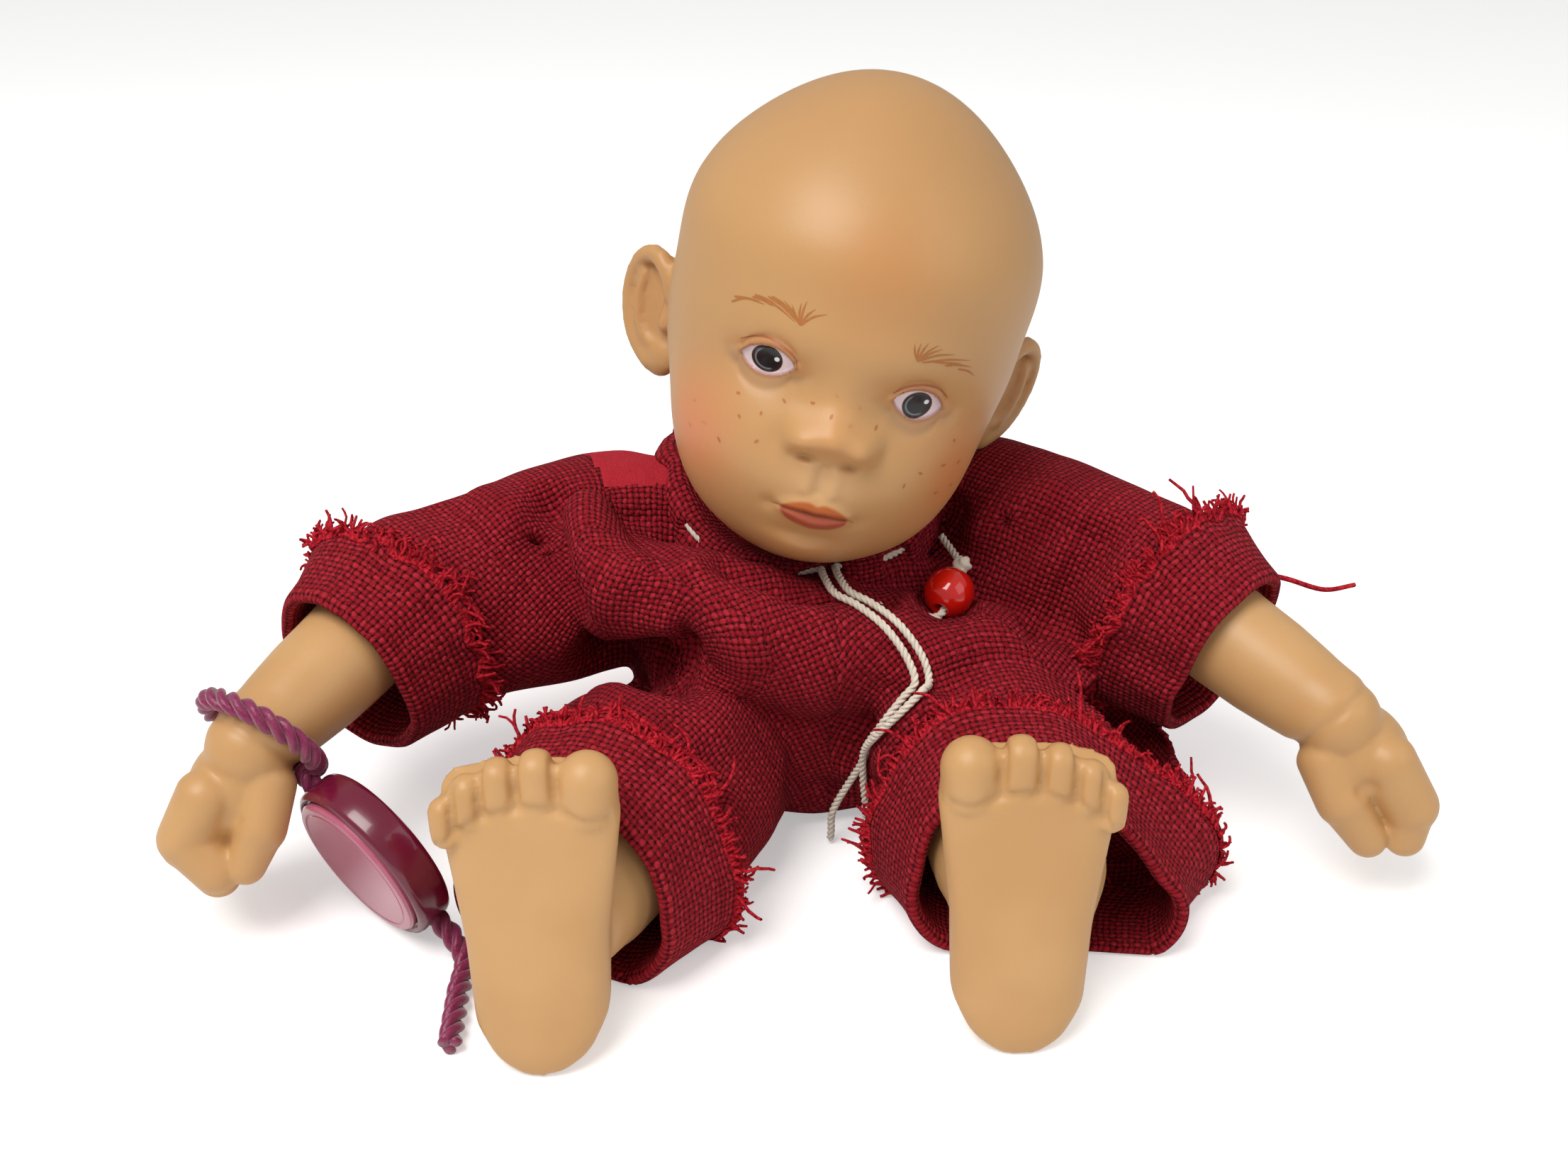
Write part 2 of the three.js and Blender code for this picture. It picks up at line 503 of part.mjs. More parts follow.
// Over the slack cloth at the belly, from the neckline
const slack = [[-0.5, -4.3, 0.4], [0.1, -9, 0], [2.7, -11.6, -0.9], [5.9, -16, -2.8], [8.8, -19.5, -7.3],
  [9, -22, -9.9]];
function tail(shift, lap, end) {
  const start = stitched(shift + 4).addScaledVector(up, 0.4);
  const thigh = [[31.5, 131], [32.5, 143], [30.5, 158], [27, 173]]
    .map(([d, degrees]) => leftLeg.onCloth(d - lap * 0.3, degrees + lap, seat + 1.4));
  return [start, ...slack.map((p) => start.clone().add(vec(...p))), ...thigh,
    end.clone().add(vec(0, -1, 6)), end.clone().add(vec(0, -0.3, 1.6)), end];
}
const drawstring = [...tail(-3, 0, vec(-3.4, -36.4, seat)).reverse(), ...round,
  ...tail(-9, 8, vec(-8, -32.6, seat))];
piece("drawstring", tube(drawstring, cord.radius, 60), string);

// Ruffle: the raw neck edge that stands above the drawstring, low under the chin
function ruffleRings(inset) {
  const base = romperRings(inset).pop();
  const middle = middleOf(base);
  return [0, 0.5, 1].map((share) => base.map((p, k) => {
    const out = p.clone().sub(middle).setZ(0).normalize();
    const tall = mix(0.2, 1, smooth(p.y, middle.y - 16, middle.y + 2)) * share;
    const wave = 0.4 * neckline.depth * Math.sin((Math.PI * neckline.gathers * k) / base.length);
    return p.clone().addScaledVector(out, tall * (1.6 + wave))
      .addScaledVector(up, 2 * seat + 0.4 + tall * neckline.ruffle);
  }));
}
const within = ruffleRings(weave);
const throat = loft([raised(within[0], -4), ...within, raised(within[2], 8)]);
piece("neck_ruffle", cut(loft(ruffleRings(0)), throat), cotton);

// Bead on a knotted loop of the same cord at the doll's left of the neckline
const beadAt = onBodice(34, 0.93, bead.radius + 1.9);
const beadWay = onBodice(44, 0.97, bead.radius + gap).sub(onBodice(24, 0.9, bead.radius + gap)).normalize();
const beadTurn = frameOf(beadAt, beadWay.toArray(), [0, 0, 1]);
const beadMouth = Math.asin(bead.hole / bead.radius);
const beadRing = Array.from({ length: 9 }, (_, i) => {
  const angle = mix(beadMouth, Math.PI - beadMouth, i / 8);
  return [bead.radius * Math.sin(angle), -bead.radius * Math.cos(angle)];
});
piece("bead", placed(turned([...beadRing, beadRing[0]], 16), beadTurn), redGloss);
const onBead = (x, z) => vec(x, 0, z).applyMatrix4(beadTurn);
const threaded = tube([onBodice(12, 0.92, seat + 0.5), onBead(-0.3, -bead.radius - 1), onBead(0, 0),
  onBead(0.3, bead.radius + 1.2), onBodice(52, 0.99, seat + 1)], cord.radius, 16);
const knot = ellipsoid(onBead(0.3, bead.radius + cord.knot + 0.5), Array(3).fill(cord.knot), 8, 6);
piece("bead_cord", join(threaded, knot), string);

// Wrist cord with its round tag. The cord runs through the tag from rim to rim and ends in a free tail
const wristAt = rightArm.onFore(arm.fore - 2);
const wristWay = rightArm.onFore(1).sub(rightArm.onFore(0)).addScaledVector(up, -0.35); // it hangs a little
const loopRadius = arm.wrist * 1.1 + wristCord.radius + gap;
const tagFrame = frameOf(vec(-80.2, -36.6, 14), [-0.795, -0.538, -0.278], [0.598, -0.494, -0.631]);
const half = tag.thick / 2;
const bore = wristCord.radius + gap;
const boreAt = -tag.recess / 2; // midway in the disc under the recess
const cordHole = solidOf(new THREE.CylinderGeometry(bore, bore, tag.radius * 3, 12)
  .rotateZ(Math.PI / 2).translate(0, 0, boreAt));
const inRim = tag.radius - tag.rim;
const disc = turned([[0, -half], [tag.radius - 1, -half], [tag.radius, 1 - half], [tag.radius, half],
  [inRim, half], [inRim, half - tag.recess], [0, half - tag.recess]], 28);
const lensLow = half - tag.recess + gap;
const lens = turned([[0, lensLow], [inRim - gap, lensLow], [inRim - gap, lensLow + tag.face * 0.5],
  [inRim - 1.2, lensLow + tag.face], [0, lensLow + tag.face]], 28);
piece("tag_body", placed(cut(disc, cordHole), tagFrame), tagRed);
piece("tag_face", placed(lens, tagFrame), tagPink);
const onTag = (d) => vec(d, 0, boreAt).applyMatrix4(tagFrame);
const loopFrame = frameOf(wristAt, wristWay.toArray(), onTag(-tag.radius).sub(wristAt).toArray());
const onLoop = (degrees, radius = loopRadius) =>
  vec(radius * Math.cos(rad(degrees)), radius * Math.sin(rad(degrees))).applyMatrix4(loopFrame);
const loop = Array.from({ length: 12 }, (_, i) => onLoop(13 + 30 * i));
const lying = (x, y) => onTag(tag.radius + 5).add(vec(x, y, 0)).setZ(wristCord.radius + 0.1);
const stem = [onLoop(0, loopRadius - 0.2), ...[-1.15, -0.9, -0.3, 0.3, 0.9, 1.15].map((d) => onTag(d * tag.radius)),
  lying(0.5, -3), lying(-1, -wristCord.tail * 0.5), lying(-3, -wristCord.tail)];
piece("wrist_cord", join(tube(loop, wristCord.radius, 18, true), tube(stem, wristCord.radius, 27)), satin);

export default doll;
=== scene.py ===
import math
import bpy
import numpy as np
from mathutils import Matrix, Vector
from mathutils.bvhtree import BVHTree


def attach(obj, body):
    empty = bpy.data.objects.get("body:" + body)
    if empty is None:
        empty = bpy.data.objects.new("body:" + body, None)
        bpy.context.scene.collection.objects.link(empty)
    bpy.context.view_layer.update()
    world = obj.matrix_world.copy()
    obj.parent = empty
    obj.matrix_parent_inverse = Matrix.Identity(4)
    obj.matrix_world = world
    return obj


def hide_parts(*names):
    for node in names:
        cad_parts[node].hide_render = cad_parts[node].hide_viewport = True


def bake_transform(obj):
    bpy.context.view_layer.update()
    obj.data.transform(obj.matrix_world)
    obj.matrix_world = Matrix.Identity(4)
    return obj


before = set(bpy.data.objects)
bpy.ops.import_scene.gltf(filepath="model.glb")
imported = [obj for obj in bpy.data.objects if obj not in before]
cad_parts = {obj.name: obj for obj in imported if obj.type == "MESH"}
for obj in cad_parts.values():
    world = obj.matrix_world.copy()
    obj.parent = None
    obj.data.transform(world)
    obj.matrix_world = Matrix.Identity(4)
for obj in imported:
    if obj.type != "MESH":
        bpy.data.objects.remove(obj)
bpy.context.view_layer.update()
mm = 0.001  # pieces are shaped in millimetres and brought to metres at the end


# small helpers
def unit(v):
    v = np.asarray(v, float)
    return v / np.linalg.norm(v)


def ease(x, low, high):
    t = np.clip((np.asarray(x, float) - low) / (high - low), 0, 1)
    return t * t * (3 - 2 * t)


def tint(r, g, b):  # picture colour to shader colour
    return tuple((c / 255 / 12.92) if c < 10.3 else ((c / 255 + 0.055) / 1.055) ** 2.4 for c in (r, g, b)) + (1,)


def waves(p, size, seed):  # smooth bumps from -1 to 1
    q = p / size + seed * 17.31
    low = np.floor(q).astype(int)
    f = q - low
    f = f * f * (3 - 2 * f)
    total = np.zeros(len(p))
    for corner in np.ndindex(2, 2, 2):
        c = np.array(corner)
        h = np.sin((low + c) @ np.array([127.1, 311.7, 74.7])) * 43758.5453
        total += np.prod(np.where(c == 1, f, 1 - f), axis=1) * (h - np.floor(h))
    return total * 2 - 1


def axesOf(aim, lean):  # columns: x nearest to lean, y, and z along aim
    z = unit(aim)
    x = unit(np.asarray(lean, float) - z * (np.asarray(lean, float) @ z))
    return np.column_stack([x, np.cross(z, x), z])


def curveThrough(points, step, closed=False):
    p = np.asarray(points, float)
    if closed:
        p = np.vstack([p[-1], p, p[0], p[1]])
    else:
        p = np.vstack([2 * p[0] - p[1], p, 2 * p[-1] - p[-2]])
    out = []
    for a, b, c, d in zip(p, p[1:], p[2:], p[3:]):
        k = [max(np.linalg.norm(y - x), 1e-6) ** 0.5 for x, y in ((a, b), (b, c), (c, d))]
        m1 = (c - b) / k[1] - (c - a) / (k[0] + k[1]) + (b - a) / k[0]
        m2 = (d - c) / k[2] - (d - b) / (k[1] + k[2]) + (c - b) / k[1]
        t = np.linspace(0, 1, max(2, int(np.linalg.norm(c - b) / step) + 1), endpoint=False)[:, None]
        out.append(b + t * m1 * k[1] + t**2 * (3 * (c - b) - (2 * m1 + m2) * k[1])
                   + t**3 * ((m1 + m2) * k[1] - 2 * (c - b)))
    return np.vstack(out + ([] if closed else [p[-2:-1]]))


def carriedFrames(path, closed=False):  # side and rise at each point, without a twist
    way = np.gradient(path, axis=0)
    if closed:
        way = np.roll(path, -1, 0) - np.roll(path, 1, 0)
    way /= np.linalg.norm(way, axis=1)[:, None]
    side = unit(np.cross(way[0], [0.3, 0.2, 1]))
    sides = []
    for w in way:
        side = unit(side - w * (side @ w))
        sides.append(side)
    sides = np.array(sides)
    return way, sides, np.cross(way, sides)


def letGo():
    if bpy.context.object and bpy.context.object.mode != "OBJECT":
        bpy.ops.object.mode_set(mode="OBJECT")
    bpy.ops.object.select_all(action="DESELECT")


def takeHold(*pieces):
    letGo()
    for piece in pieces:
        piece.select_set(True)
    bpy.context.view_layer.objects.active = pieces[-1]


def madeOf(name, points, faces):
    mesh = bpy.data.meshes.new(name)
    mesh.from_pydata(np.asarray(points).tolist(), [], faces)
    mesh.update()
    piece = bpy.data.objects.new(name, mesh)
    bpy.context.scene.collection.objects.link(piece)
    return piece


def pointsOf(piece):
    p = np.zeros(len(piece.data.vertices) * 3)
    piece.data.vertices.foreach_get("co", p)
    return p.reshape(-1, 3)


def normalsOf(piece):
    n = np.zeros(len(piece.data.vertices) * 3)
    piece.data.vertices.foreach_get("normal", n)
    return n.reshape(-1, 3)


def setPoints(piece, p):
    piece.data.vertices.foreach_set("co", np.asarray(p, np.float32).ravel())
    piece.data.update()


def modify(piece, kind, **settings):
    takeHold(piece)
    bpy.ops.object.modifier_add(type=kind)
    modifier = piece.modifiers[-1]
    for key, value in settings.items():
        setattr(modifier, key, value)
    bpy.ops.object.modifier_apply(modifier=modifier.name)


def relax(piece, rounds):
    modify(piece, "SMOOTH", factor=0.5, iterations=rounds)


def ball(at, half, axes=None, around=28, down=18):
    letGo()
    bpy.ops.mesh.primitive_uv_sphere_add(segments=around, ring_count=down, radius=1)
    piece = bpy.context.object
    turn = np.eye(3) if axes is None else np.asarray(axes)
    setPoints(piece, (pointsOf(piece) * half) @ turn.T + at)
    return piece


def rod(a, b, startRadius, endRadius):  # a sphere pulled out into a rod with round ends
    letGo()
    bpy.ops.mesh.primitive_uv_sphere_add(segments=24, ring_count=16, radius=1)
    piece = bpy.context.object
    p = pointsOf(piece)
    a, b = np.asarray(a, float), np.asarray(b, float)
    turn = axesOf(b - a, [0.37, 0.21, 0.9])
    far = (p[:, 2] > -1e-6)[:, None]
    setPoints(piece, np.where(far, p * endRadius, p * startRadius) @ turn.T + np.where(far, b, a))
    return piece


def skin(name, rings):  # a closed skin over rings of points, capped at both ends
    rings = np.asarray(rings)
    rows, count = rings.shape[:2]
    points = np.vstack([rings.reshape(-1, 3), rings[0].mean(0), rings[-1].mean(0)])
    faces = []
    for r in range(rows - 1):
        for i in range(count):
            a, b = r * count + i, r * count + (i + 1) % count
            faces.append((a, b, b + count, a + count))
    last = (rows - 1) * count
    for i in range(count):
        j = (i + 1) % count
        faces.append((rows * count, j, i))
        faces.append((rows * count + 1, last + i, last + j))
    return madeOf(name, points, faces)


def moulded(name, pieces, voxel, rounds, factor=0.5):  # pieces run together into one skin
    takeHold(*pieces)
    bpy.ops.object.join()
    piece = bpy.context.object
    piece.name = piece.data.name = name
    takeHold(piece)
    bpy.ops.object.mode_set(mode="EDIT")
    bpy.ops.mesh.select_all(action="SELECT")
    bpy.ops.mesh.normals_make_consistent(inside=False)
    bpy.ops.object.mode_set(mode="OBJECT")
    modify(piece, "REMESH", mode="VOXEL", voxel_size=voxel, adaptivity=0)
    modify(piece, "SMOOTH", factor=factor, iterations=rounds)
    return piece


def inMetres(piece, smooth=True):
    piece.data.transform(Matrix.Scale(mm, 4))
    takeHold(piece)
    if smooth:
        bpy.ops.object.shade_smooth()
    return piece


def floatLayer(piece, name, values):
    layer = piece.data.attributes.new(name, "FLOAT", "POINT")
    layer.data.foreach_set("value", np.asarray(values, np.float32))


def colourLayer(piece, name, colours):
    layer = piece.data.attributes.new(name, "FLOAT_COLOR", "POINT")
    rgba = np.hstack([colours, np.ones((len(colours), 1))])
    layer.data.foreach_set("color", rgba.astype(np.float32).ravel())


# shader helpers
def finishOf(name, colour=(0.5, 0.5, 0.5, 1), roughness=0.5):
    made = bpy.data.materials.new(name)
    made.use_nodes = True
    tree = made.node_tree
    shader = tree.nodes["Principled BSDF"]
    shader.inputs["Base Color"].default_value = colour
    shader.inputs["Roughness"].default_value = roughness
    return made, tree, shader


def add(tree, kind, inputs=None, **settings):
    made = tree.nodes.new(kind)
    for key, value in settings.items():
        setattr(made, key, value)
    for key, value in (inputs or {}).items():
        if isinstance(value, bpy.types.NodeSocket):
            tree.links.new(value, made.inputs[key])
        else:
            made.inputs[key].default_value = value
    return made


def sum2(tree, operation, a, b=0.0, c=0.0):
    return add(tree, "ShaderNodeMath", {0: a, 1: b, 2: c}, operation=operation).outputs[0]


def mixed(tree, factor, a, b, blend="MIX"):
    made = add(tree, "ShaderNodeMix", {0: factor, 6: a, 7: b}, data_type="RGBA", blend_type=blend)
    return made.outputs[2]


def ramp(tree, value, low, high):
    return add(tree, "ShaderNodeMapRange", {0: value, 1: low, 2: high}, interpolation_type="SMOOTHSTEP").outputs[0]


def objectPlace(tree):
    return add(tree, "ShaderNodeTexCoord").outputs["Object"]


def specks(tree, place, scale, detail=2.0):
    return add(tree, "ShaderNodeTexNoise", {"Vector": place, "Scale": scale, "Detail": detail}).outputs["Fac"]


def layerOf(tree, name, colour=False):
    return add(tree, "ShaderNodeAttribute", attribute_name=name).outputs["Color" if colour else "Fac"]


def lift(tree, shader, height, distance, strength=1.0):
    bump = add(tree, "ShaderNodeBump", {"Height": height, "Distance": distance, "Strength": strength})
    tree.links.new(bump.outputs[0], shader.inputs["Normal"])


def colourBy(tree, shader, colour):
    tree.links.new(colour, shader.inputs["Base Color"])


def dress(piece, made):
    piece.data.materials.clear()
    piece.data.materials.append(made)


# camera at the photograph's place
view = {"at": (-69.2, -246.5, 165.9), "target": (-9.4, -6.6, 34.5), "lens": 38.08}
letGo()
bpy.ops.object.camera_add(location=Vector(view["at"]) * mm)
camera = bpy.context.object
camera.rotation_euler = (Vector(view["target"]) - Vector(view["at"])).to_track_quat("-Z", "Y").to_euler()
camera.data.sensor_width = 36
camera.data.lens = view["lens"]
camera.data.clip_start = 0.01
bpy.context.scene.camera = camera
print("camera set")


# cords first: off-white drawstring, bead loop, and the satin wrist cord
stringCord = {
    "radius": 0.65, "pitch": 3.2, "strands": 3,
    "tailLong": [(-4.2, -19.3, 44.3), (-4.7, -23.6, 44.7), (-4.1, -28.3, 44.3), (-1.5, -30.9, 43.4),
                 (1.7, -35.3, 41.5), (4.6, -38.8, 37), (4.8, -41.3, 34.4), (2.4, -44.9, 35.1),
                 (-1.2, -45.3, 31.9), (-3.9, -42.8, 26.9), (-4.7, -39.1, 21.3), (-3.4, -37.4, 7),
                 (-3.4, -36.7, 2.6), (-3.4, -36.4, 1)],
    "round": [(-4.2, -19.3, 44.3), (1.6, -18.6, 43.9), (6.9, -16.7, 44.2), (11.5, -13.3, 45.1),
              (14.9, -8.8, 46.9), (17, -3.6, 49.2), (17.7, 1.9, 51.4), (17.4, 7.5, 52.3), (16, 13, 52.4),
              (13.1, 17.9, 52.4), (8.8, 21.7, 52.4), (3.7, 24.1, 52.4), (-1.8, 25.2, 52.4),
              (-7.4, 25.2, 52.4), (-12.9, 24.1, 52.4), (-17.9, 21.6, 52.4), (-22.1, 17.8, 52.4),
              (-25, 12.9, 52.4), (-26.6, 7.5, 52.3), (-26.9, 1.9, 51.3), (-26.2, -3.6, 49.2),
              (-24.2, -8.9, 46.8), (-20.8, -13.4, 45), (-16.2, -16.8, 44.1), (-10.8, -18.8, 43.9),
              (-6.5, -19.3, 44.3)],
    "tailShort": [(-6.5, -19.3, 44.3), (-7, -23.6, 44.7), (-6.5, -28.3, 44.3), (-3.9, -30.9, 43.4),
                  (-0.7, -35.3, 41.5), (2.2, -38.8, 37), (2.5, -41.3, 34.4), (0.5, -42.1, 32.7),
                  (-2.6, -42.6, 29.2), (-4.4, -40.3, 23.9), (-4.2, -36.8, 18.2), (-8, -33.6, 7),
                  (-8, -32.9, 2.6), (-8, -32.6, 1)],
    "beadLoop": [(1.42, -24.44, 39.45), (10.59, -27.82, 37.77), (13.59, -24.34, 39.87), (16.72, -20.71, 42.05),
                 (15.92, -13.17, 44.41)],
    "knot": (17.14, -20.22, 42.3),
}
wristCord = {
    "radius": 1.75, "pitch": 8.5, "strands": 3,
    "loop": [(-87, -29, 26.4), (-87.8, -31.6, 30.3), (-90.3, -32.4, 34.3), (-93.9, -31.3, 37.2),
             (-97.7, -28.5, 38.3), (-100.5, -24.8, 37.2), (-101.8, -21.2, 34.3), (-101, -18.7, 30.3),
             (-98.5, -17.8, 26.4), (-94.8, -19, 23.4), (-91.1, -21.8, 22.4), (-88.2, -25.4, 23.4)],
    "stem": [(-87.5, -27.5, 25), (-88.9, -28.4, 24.1), (-87, -30.2, 21.9), (-82.3, -34.4, 16.7),
             (-77.6, -38.5, 11.5), (-73, -42.7, 6.2), (-71, -44.5, 4.1), (-68.8, -49, 1.9),
             (-70.3, -56.5, 1.9), (-72.3, -67, 1.9)],
}


def twisted(name, path, radius, pitch, strands, sides=7, closed=False):
    way, side, rise = carriedFrames(path, closed)
    gaps = np.linalg.norm(np.diff(path, axis=0), axis=1)
    run = np.concatenate([[0], np.cumsum(gaps)])
    turns = run / pitch
    if closed:
        whole = run[-1] + np.linalg.norm(path[0] - path[-1])
        turns = run / whole * round(whole / pitch)
    share = 0.55 if radius < 1 else 0.5  # thickness of a strand
    points, faces = [], []
    for s in range(strands):
        angle = 2 * math.pi * (turns + s / strands)
        centre = path + radius * (1 - share) * (side * np.cos(angle)[:, None] + rise * np.sin(angle)[:, None])
        first = len(points)
        for c, u, v in zip(centre, side, rise):
            for k in range(sides):
                t = 2 * math.pi * k / sides
                points.append(c + radius * share * (u * math.cos(t) + v * math.sin(t)))
        count = len(path)
        for r in range(count if closed else count - 1):
            for k in range(sides):
                a, b = first + r * sides + k, first + r * sides + (k + 1) % sides
                n = sides if r + 1 < count else (1 - count) * sides
                faces.append((a, b, b + n, a + n))
        if not closed:
            faces.append(tuple(first + k for k in reversed(range(sides))))
            faces.append(tuple(first + (count - 1) * sides + k for k in range(sides)))
    return madeOf(name, points, faces)


def stringFinish():
    made, tree, shader = finishOf("offWhiteString", roughness=0.85)
    place = objectPlace(tree)
    tone = mixed(tree, specks(tree, place, 900, 3), tint(208, 194, 172), tint(246, 238, 224))
    colourBy(tree, shader, tone)
    lift(tree, shader, specks(tree, place, 5200, 2), 0.00012, 0.7)
    shader.inputs["Sheen Weight"].default_value = 0.25
    return made


def satinFinish():
    made, tree, shader = finishOf("crimsonSatin", roughness=0.36)
    place = objectPlace(tree)
    fibres = specks(tree, place, 2600, 3)
    colourBy(tree, shader, mixed(tree, fibres, tint(92, 8, 48), tint(158, 30, 92)))
    lift(tree, shader, fibres, 0.00016, 0.6)
    shader.inputs["Sheen Weight"].default_value = 0.4
    shader.inputs["Anisotropic"].default_value = 0.5
    return made


stringLook, satinLook = stringFinish(), satinFinish()


def stringPiece(name, points, step=0.3):
    path = curveThrough(points, step)
    piece = twisted(name, path, stringCord["radius"], stringCord["pitch"], stringCord["strands"])
    dress(inMetres(piece), stringLook)
    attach(piece, "torso")
    return piece, path


neckString, _ = stringPiece("drawstringRound", stringCord["round"])
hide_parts("drawstring")
for tailName in ("tailLong", "tailShort"):
    tail, path = stringPiece("drawstring" + tailName[0].upper() + tailName[1:], stringCord[tailName])
beadLoop, _ = stringPiece("beadLoop", stringCord["beadLoop"])
knot = ball(stringCord["knot"], (1.5, 1.3, 1.5), around=20, down=14)
knotPoints = pointsOf(knot)
setPoints(knot, knotPoints + (knotPoints - stringCord["knot"]) * 0.14 * np.sin(
    np.arctan2(knotPoints[:, 1] - stringCord["knot"][1], knotPoints[:, 0] - stringCord["knot"][0]) * 3
    + knotPoints[:, 2] * 3.5)[:, None])
knot.name = "beadKnot"
dress(inMetres(knot), stringLook)
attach(knot, "torso")
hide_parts("bead_cord")

loopPath = curveThrough(wristCord["loop"], 0.5, closed=True)
wristLoop = twisted("wristLoop", loopPath, wristCord["radius"], wristCord["pitch"], wristCord["strands"], 12,
                    closed=True)
stemPath = curveThrough(wristCord["stem"], 0.5)
wristTail = twisted("wristTail", stemPath, wristCord["radius"], wristCord["pitch"], wristCord["strands"], 12)
for piece in (wristLoop, wristTail):
    dress(inMetres(piece), satinLook)
    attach(piece, "right_arm")
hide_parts("wrist_cord")
print("cords laid")


# vinyl: warm tan, slightly waxy, with blush and painted shade in a paint layer
vinylPaint = {"base": (200, 154, 101), "light": (207, 162, 109), "roughness": 0.42}


def vinylFinish(name, painted=False):
    made, tree, shader = finishOf(name)
    place = objectPlace(tree)
    soft = specks(tree, place, 55, 2)
    colour = mixed(tree, ramp(tree, soft, 0.35, 0.7), tint(*vinylPaint["base"]), tint(*vinylPaint["light"]))
    if painted:
        # the paint layer carries the blush, and painted shade on the lower face and partly on the crown
        colour = mixed(tree, 1.0, layerOf(tree, "paint", True), mixed(tree, soft, (0.93, 0.92, 0.9, 1), (1, 1, 1, 1)),
                       "MULTIPLY")
        eyeEdge, irisRun, upDown = layerOf(tree, "eyeEdge"), layerOf(tree, "irisRun"), layerOf(tree, "irisSide")
        inEye = ramp(tree, eyeEdge, -0.06, 0.12)
        rim = ramp(tree, eyeEdge, 0.55, 0.1)
        white = mixed(tree, rim, tint(232, 212, 214), tint(196, 150, 150))
        iris = mixed(tree, ramp(tree, irisRun, 1.78, 1.86), tint(112, 122, 128), tint(40, 22, 18))
        arc = sum2(tree, "MULTIPLY", ramp(tree, upDown, 0.25, -0.45), ramp(tree, irisRun, 1.5, 1.62))
        dark = mixed(tree, arc, tint(14, 14, 18), iris)
        dark = mixed(tree, ramp(tree, irisRun, 1.8, 1.9), dark, tint(46, 26, 20))
        white = mixed(tree, ramp(tree, irisRun, 2.34, 2.2), white, dark)
        glint = ramp(tree, layerOf(tree, "glintRun"), 0.46, 0.3)
        white = mixed(tree, glint, white, tint(236, 240, 244))
        colour = mixed(tree, inEye, colour, white)
        lip = ramp(tree, layerOf(tree, "lipEdge"), -0.3, 0.35)
        lipTone = mixed(tree, ramp(tree, layerOf(tree, "lipSide"), -0.5, 0.5), tint(172, 82, 56), tint(180, 92, 38))
        lipTone = mixed(tree, ramp(tree, layerOf(tree, "lipSeam"), 0.34, 0.04), lipTone, tint(128, 56, 32))
        colour = mixed(tree, lip, colour, lipTone)
        tree.links.new(sum2(tree, "MULTIPLY", inEye, 0.3), shader.inputs["Coat Weight"])
        shader.inputs["Coat Roughness"].default_value = 0.12
        rough = sum2(tree, "MULTIPLY_ADD", inEye, -0.12, vinylPaint["roughness"])
        tree.links.new(rough, shader.inputs["Roughness"])
    else:
        tree.links.new(sum2(tree, "MULTIPLY_ADD", soft, 0.12, vinylPaint["roughness"] - 0.06),
                       shader.inputs["Roughness"])
    colourBy(tree, shader, colour)
    shader.inputs["Subsurface Weight"].default_value = 0.18
    shader.inputs["Subsurface Radius"].default_value = (1.0, 0.5, 0.25)
    shader.inputs["Subsurface Scale"].default_value = 0.0022
    shader.inputs["Specular IOR Level"].default_value = 0.42
    lift(tree, shader, specks(tree, place, 1500, 3), 0.00006, 0.35)
    return made


# head: a baby's skull with ears, face moved into it vertex by vertex
headForm = {
    "at": (2.2, -1.8, 82.0), "roll": 13.9, "yaw": -15.5, "nod": -3.6,
    "half": (28.2, 33, 36), "voxel": 0.55,
    # soft swellings of the face: x, z, width, height, push
    "swellings": [(0, -26, 15, 11, 2.4), (13.5, -17, 9, 8, 2.1), (-13.5, -17, 9, 8, 2.1), (9, 1.5, 9, 4, 1.0),
                  (-9, 1.5, 9, 4, 1.0), (11.4, -5.5, 6.2, 3.8, -1.9), (-11.4, -5.5, 6.2, 3.8, -1.9),
                  (0, -5.5, 3.6, 5, 0.7), (0, -19.2, 7.5, 4.6, 1.1), (0, -31.6, 6.5, 4, 1.9)],
    "nose": [(0, -11, 4.3, 3.5, 4.3), (4.9, -12.2, 2.6, 2.5, 2.6), (-4.9, -12.2, 2.6, 2.5, 2.6),
             (3.3, -14.9, 1.5, 0.8, -1.5), (-3.3, -14.9, 1.5, 0.8, -1.5), (8, -13, 1.1, 2.4, -0.5),
             (-8, -13, 1.1, 2.4, -0.5)],
    "eyes": {-1: (-11.6, -3.7), 1: (11.2, -4.9)}, "eyeHalf": 3.85, "lidUp": 2.6, "lidDown": 2.4,
    "irises": {-1: (-11.7, -3.5), 1: (11.1, -5.0)}, "glints": {-1: (-10.35, -3.0), 1: (12.4, -4.4)},
    "mouth": (0.3, -23.1), "mouthHalf": 5.2,
}
headTurn = np.array(Matrix.Rotation(math.radians(headForm["yaw"]), 3, "Z")
                    @ Matrix.Rotation(math.radians(headForm["roll"]), 3, "Y")
                    @ Matrix.Rotation(math.radians(headForm["nod"]), 3, "X"))
headAt = np.array(headForm["at"])


def skullPoints(way):
    half = headForm["half"]
    x, y, z = way.T
    crown = 1 + 0.075 * ease(z, 0, 0.45) * (1 - ease(z, 0.5, 1))
    p = np.column_stack([x * half[0] * crown, y * half[1] * crown, z * half[2]])
    p[:, 1] -= 7 * ease(y, 0.1, 0.9) * ease(-z, 0.15, 0.8)  # the nape
    p *= (1 + 0.18 * ease(-y, 0.1, 0.55) * ease(-z, 0.2, 0.75))[:, None]  # the full lower face
    p[:, 2] += 9 * ease(y, -0.5, 0) * ease(-z, 0.5, 0.95)  # under the jaw
    return p


earForm = {"at": (24.2, 4.6, -10.2), "flare": 40, "lean": 8, "plate": (8.4, 1.7, 9.4), "rim": 1.55}


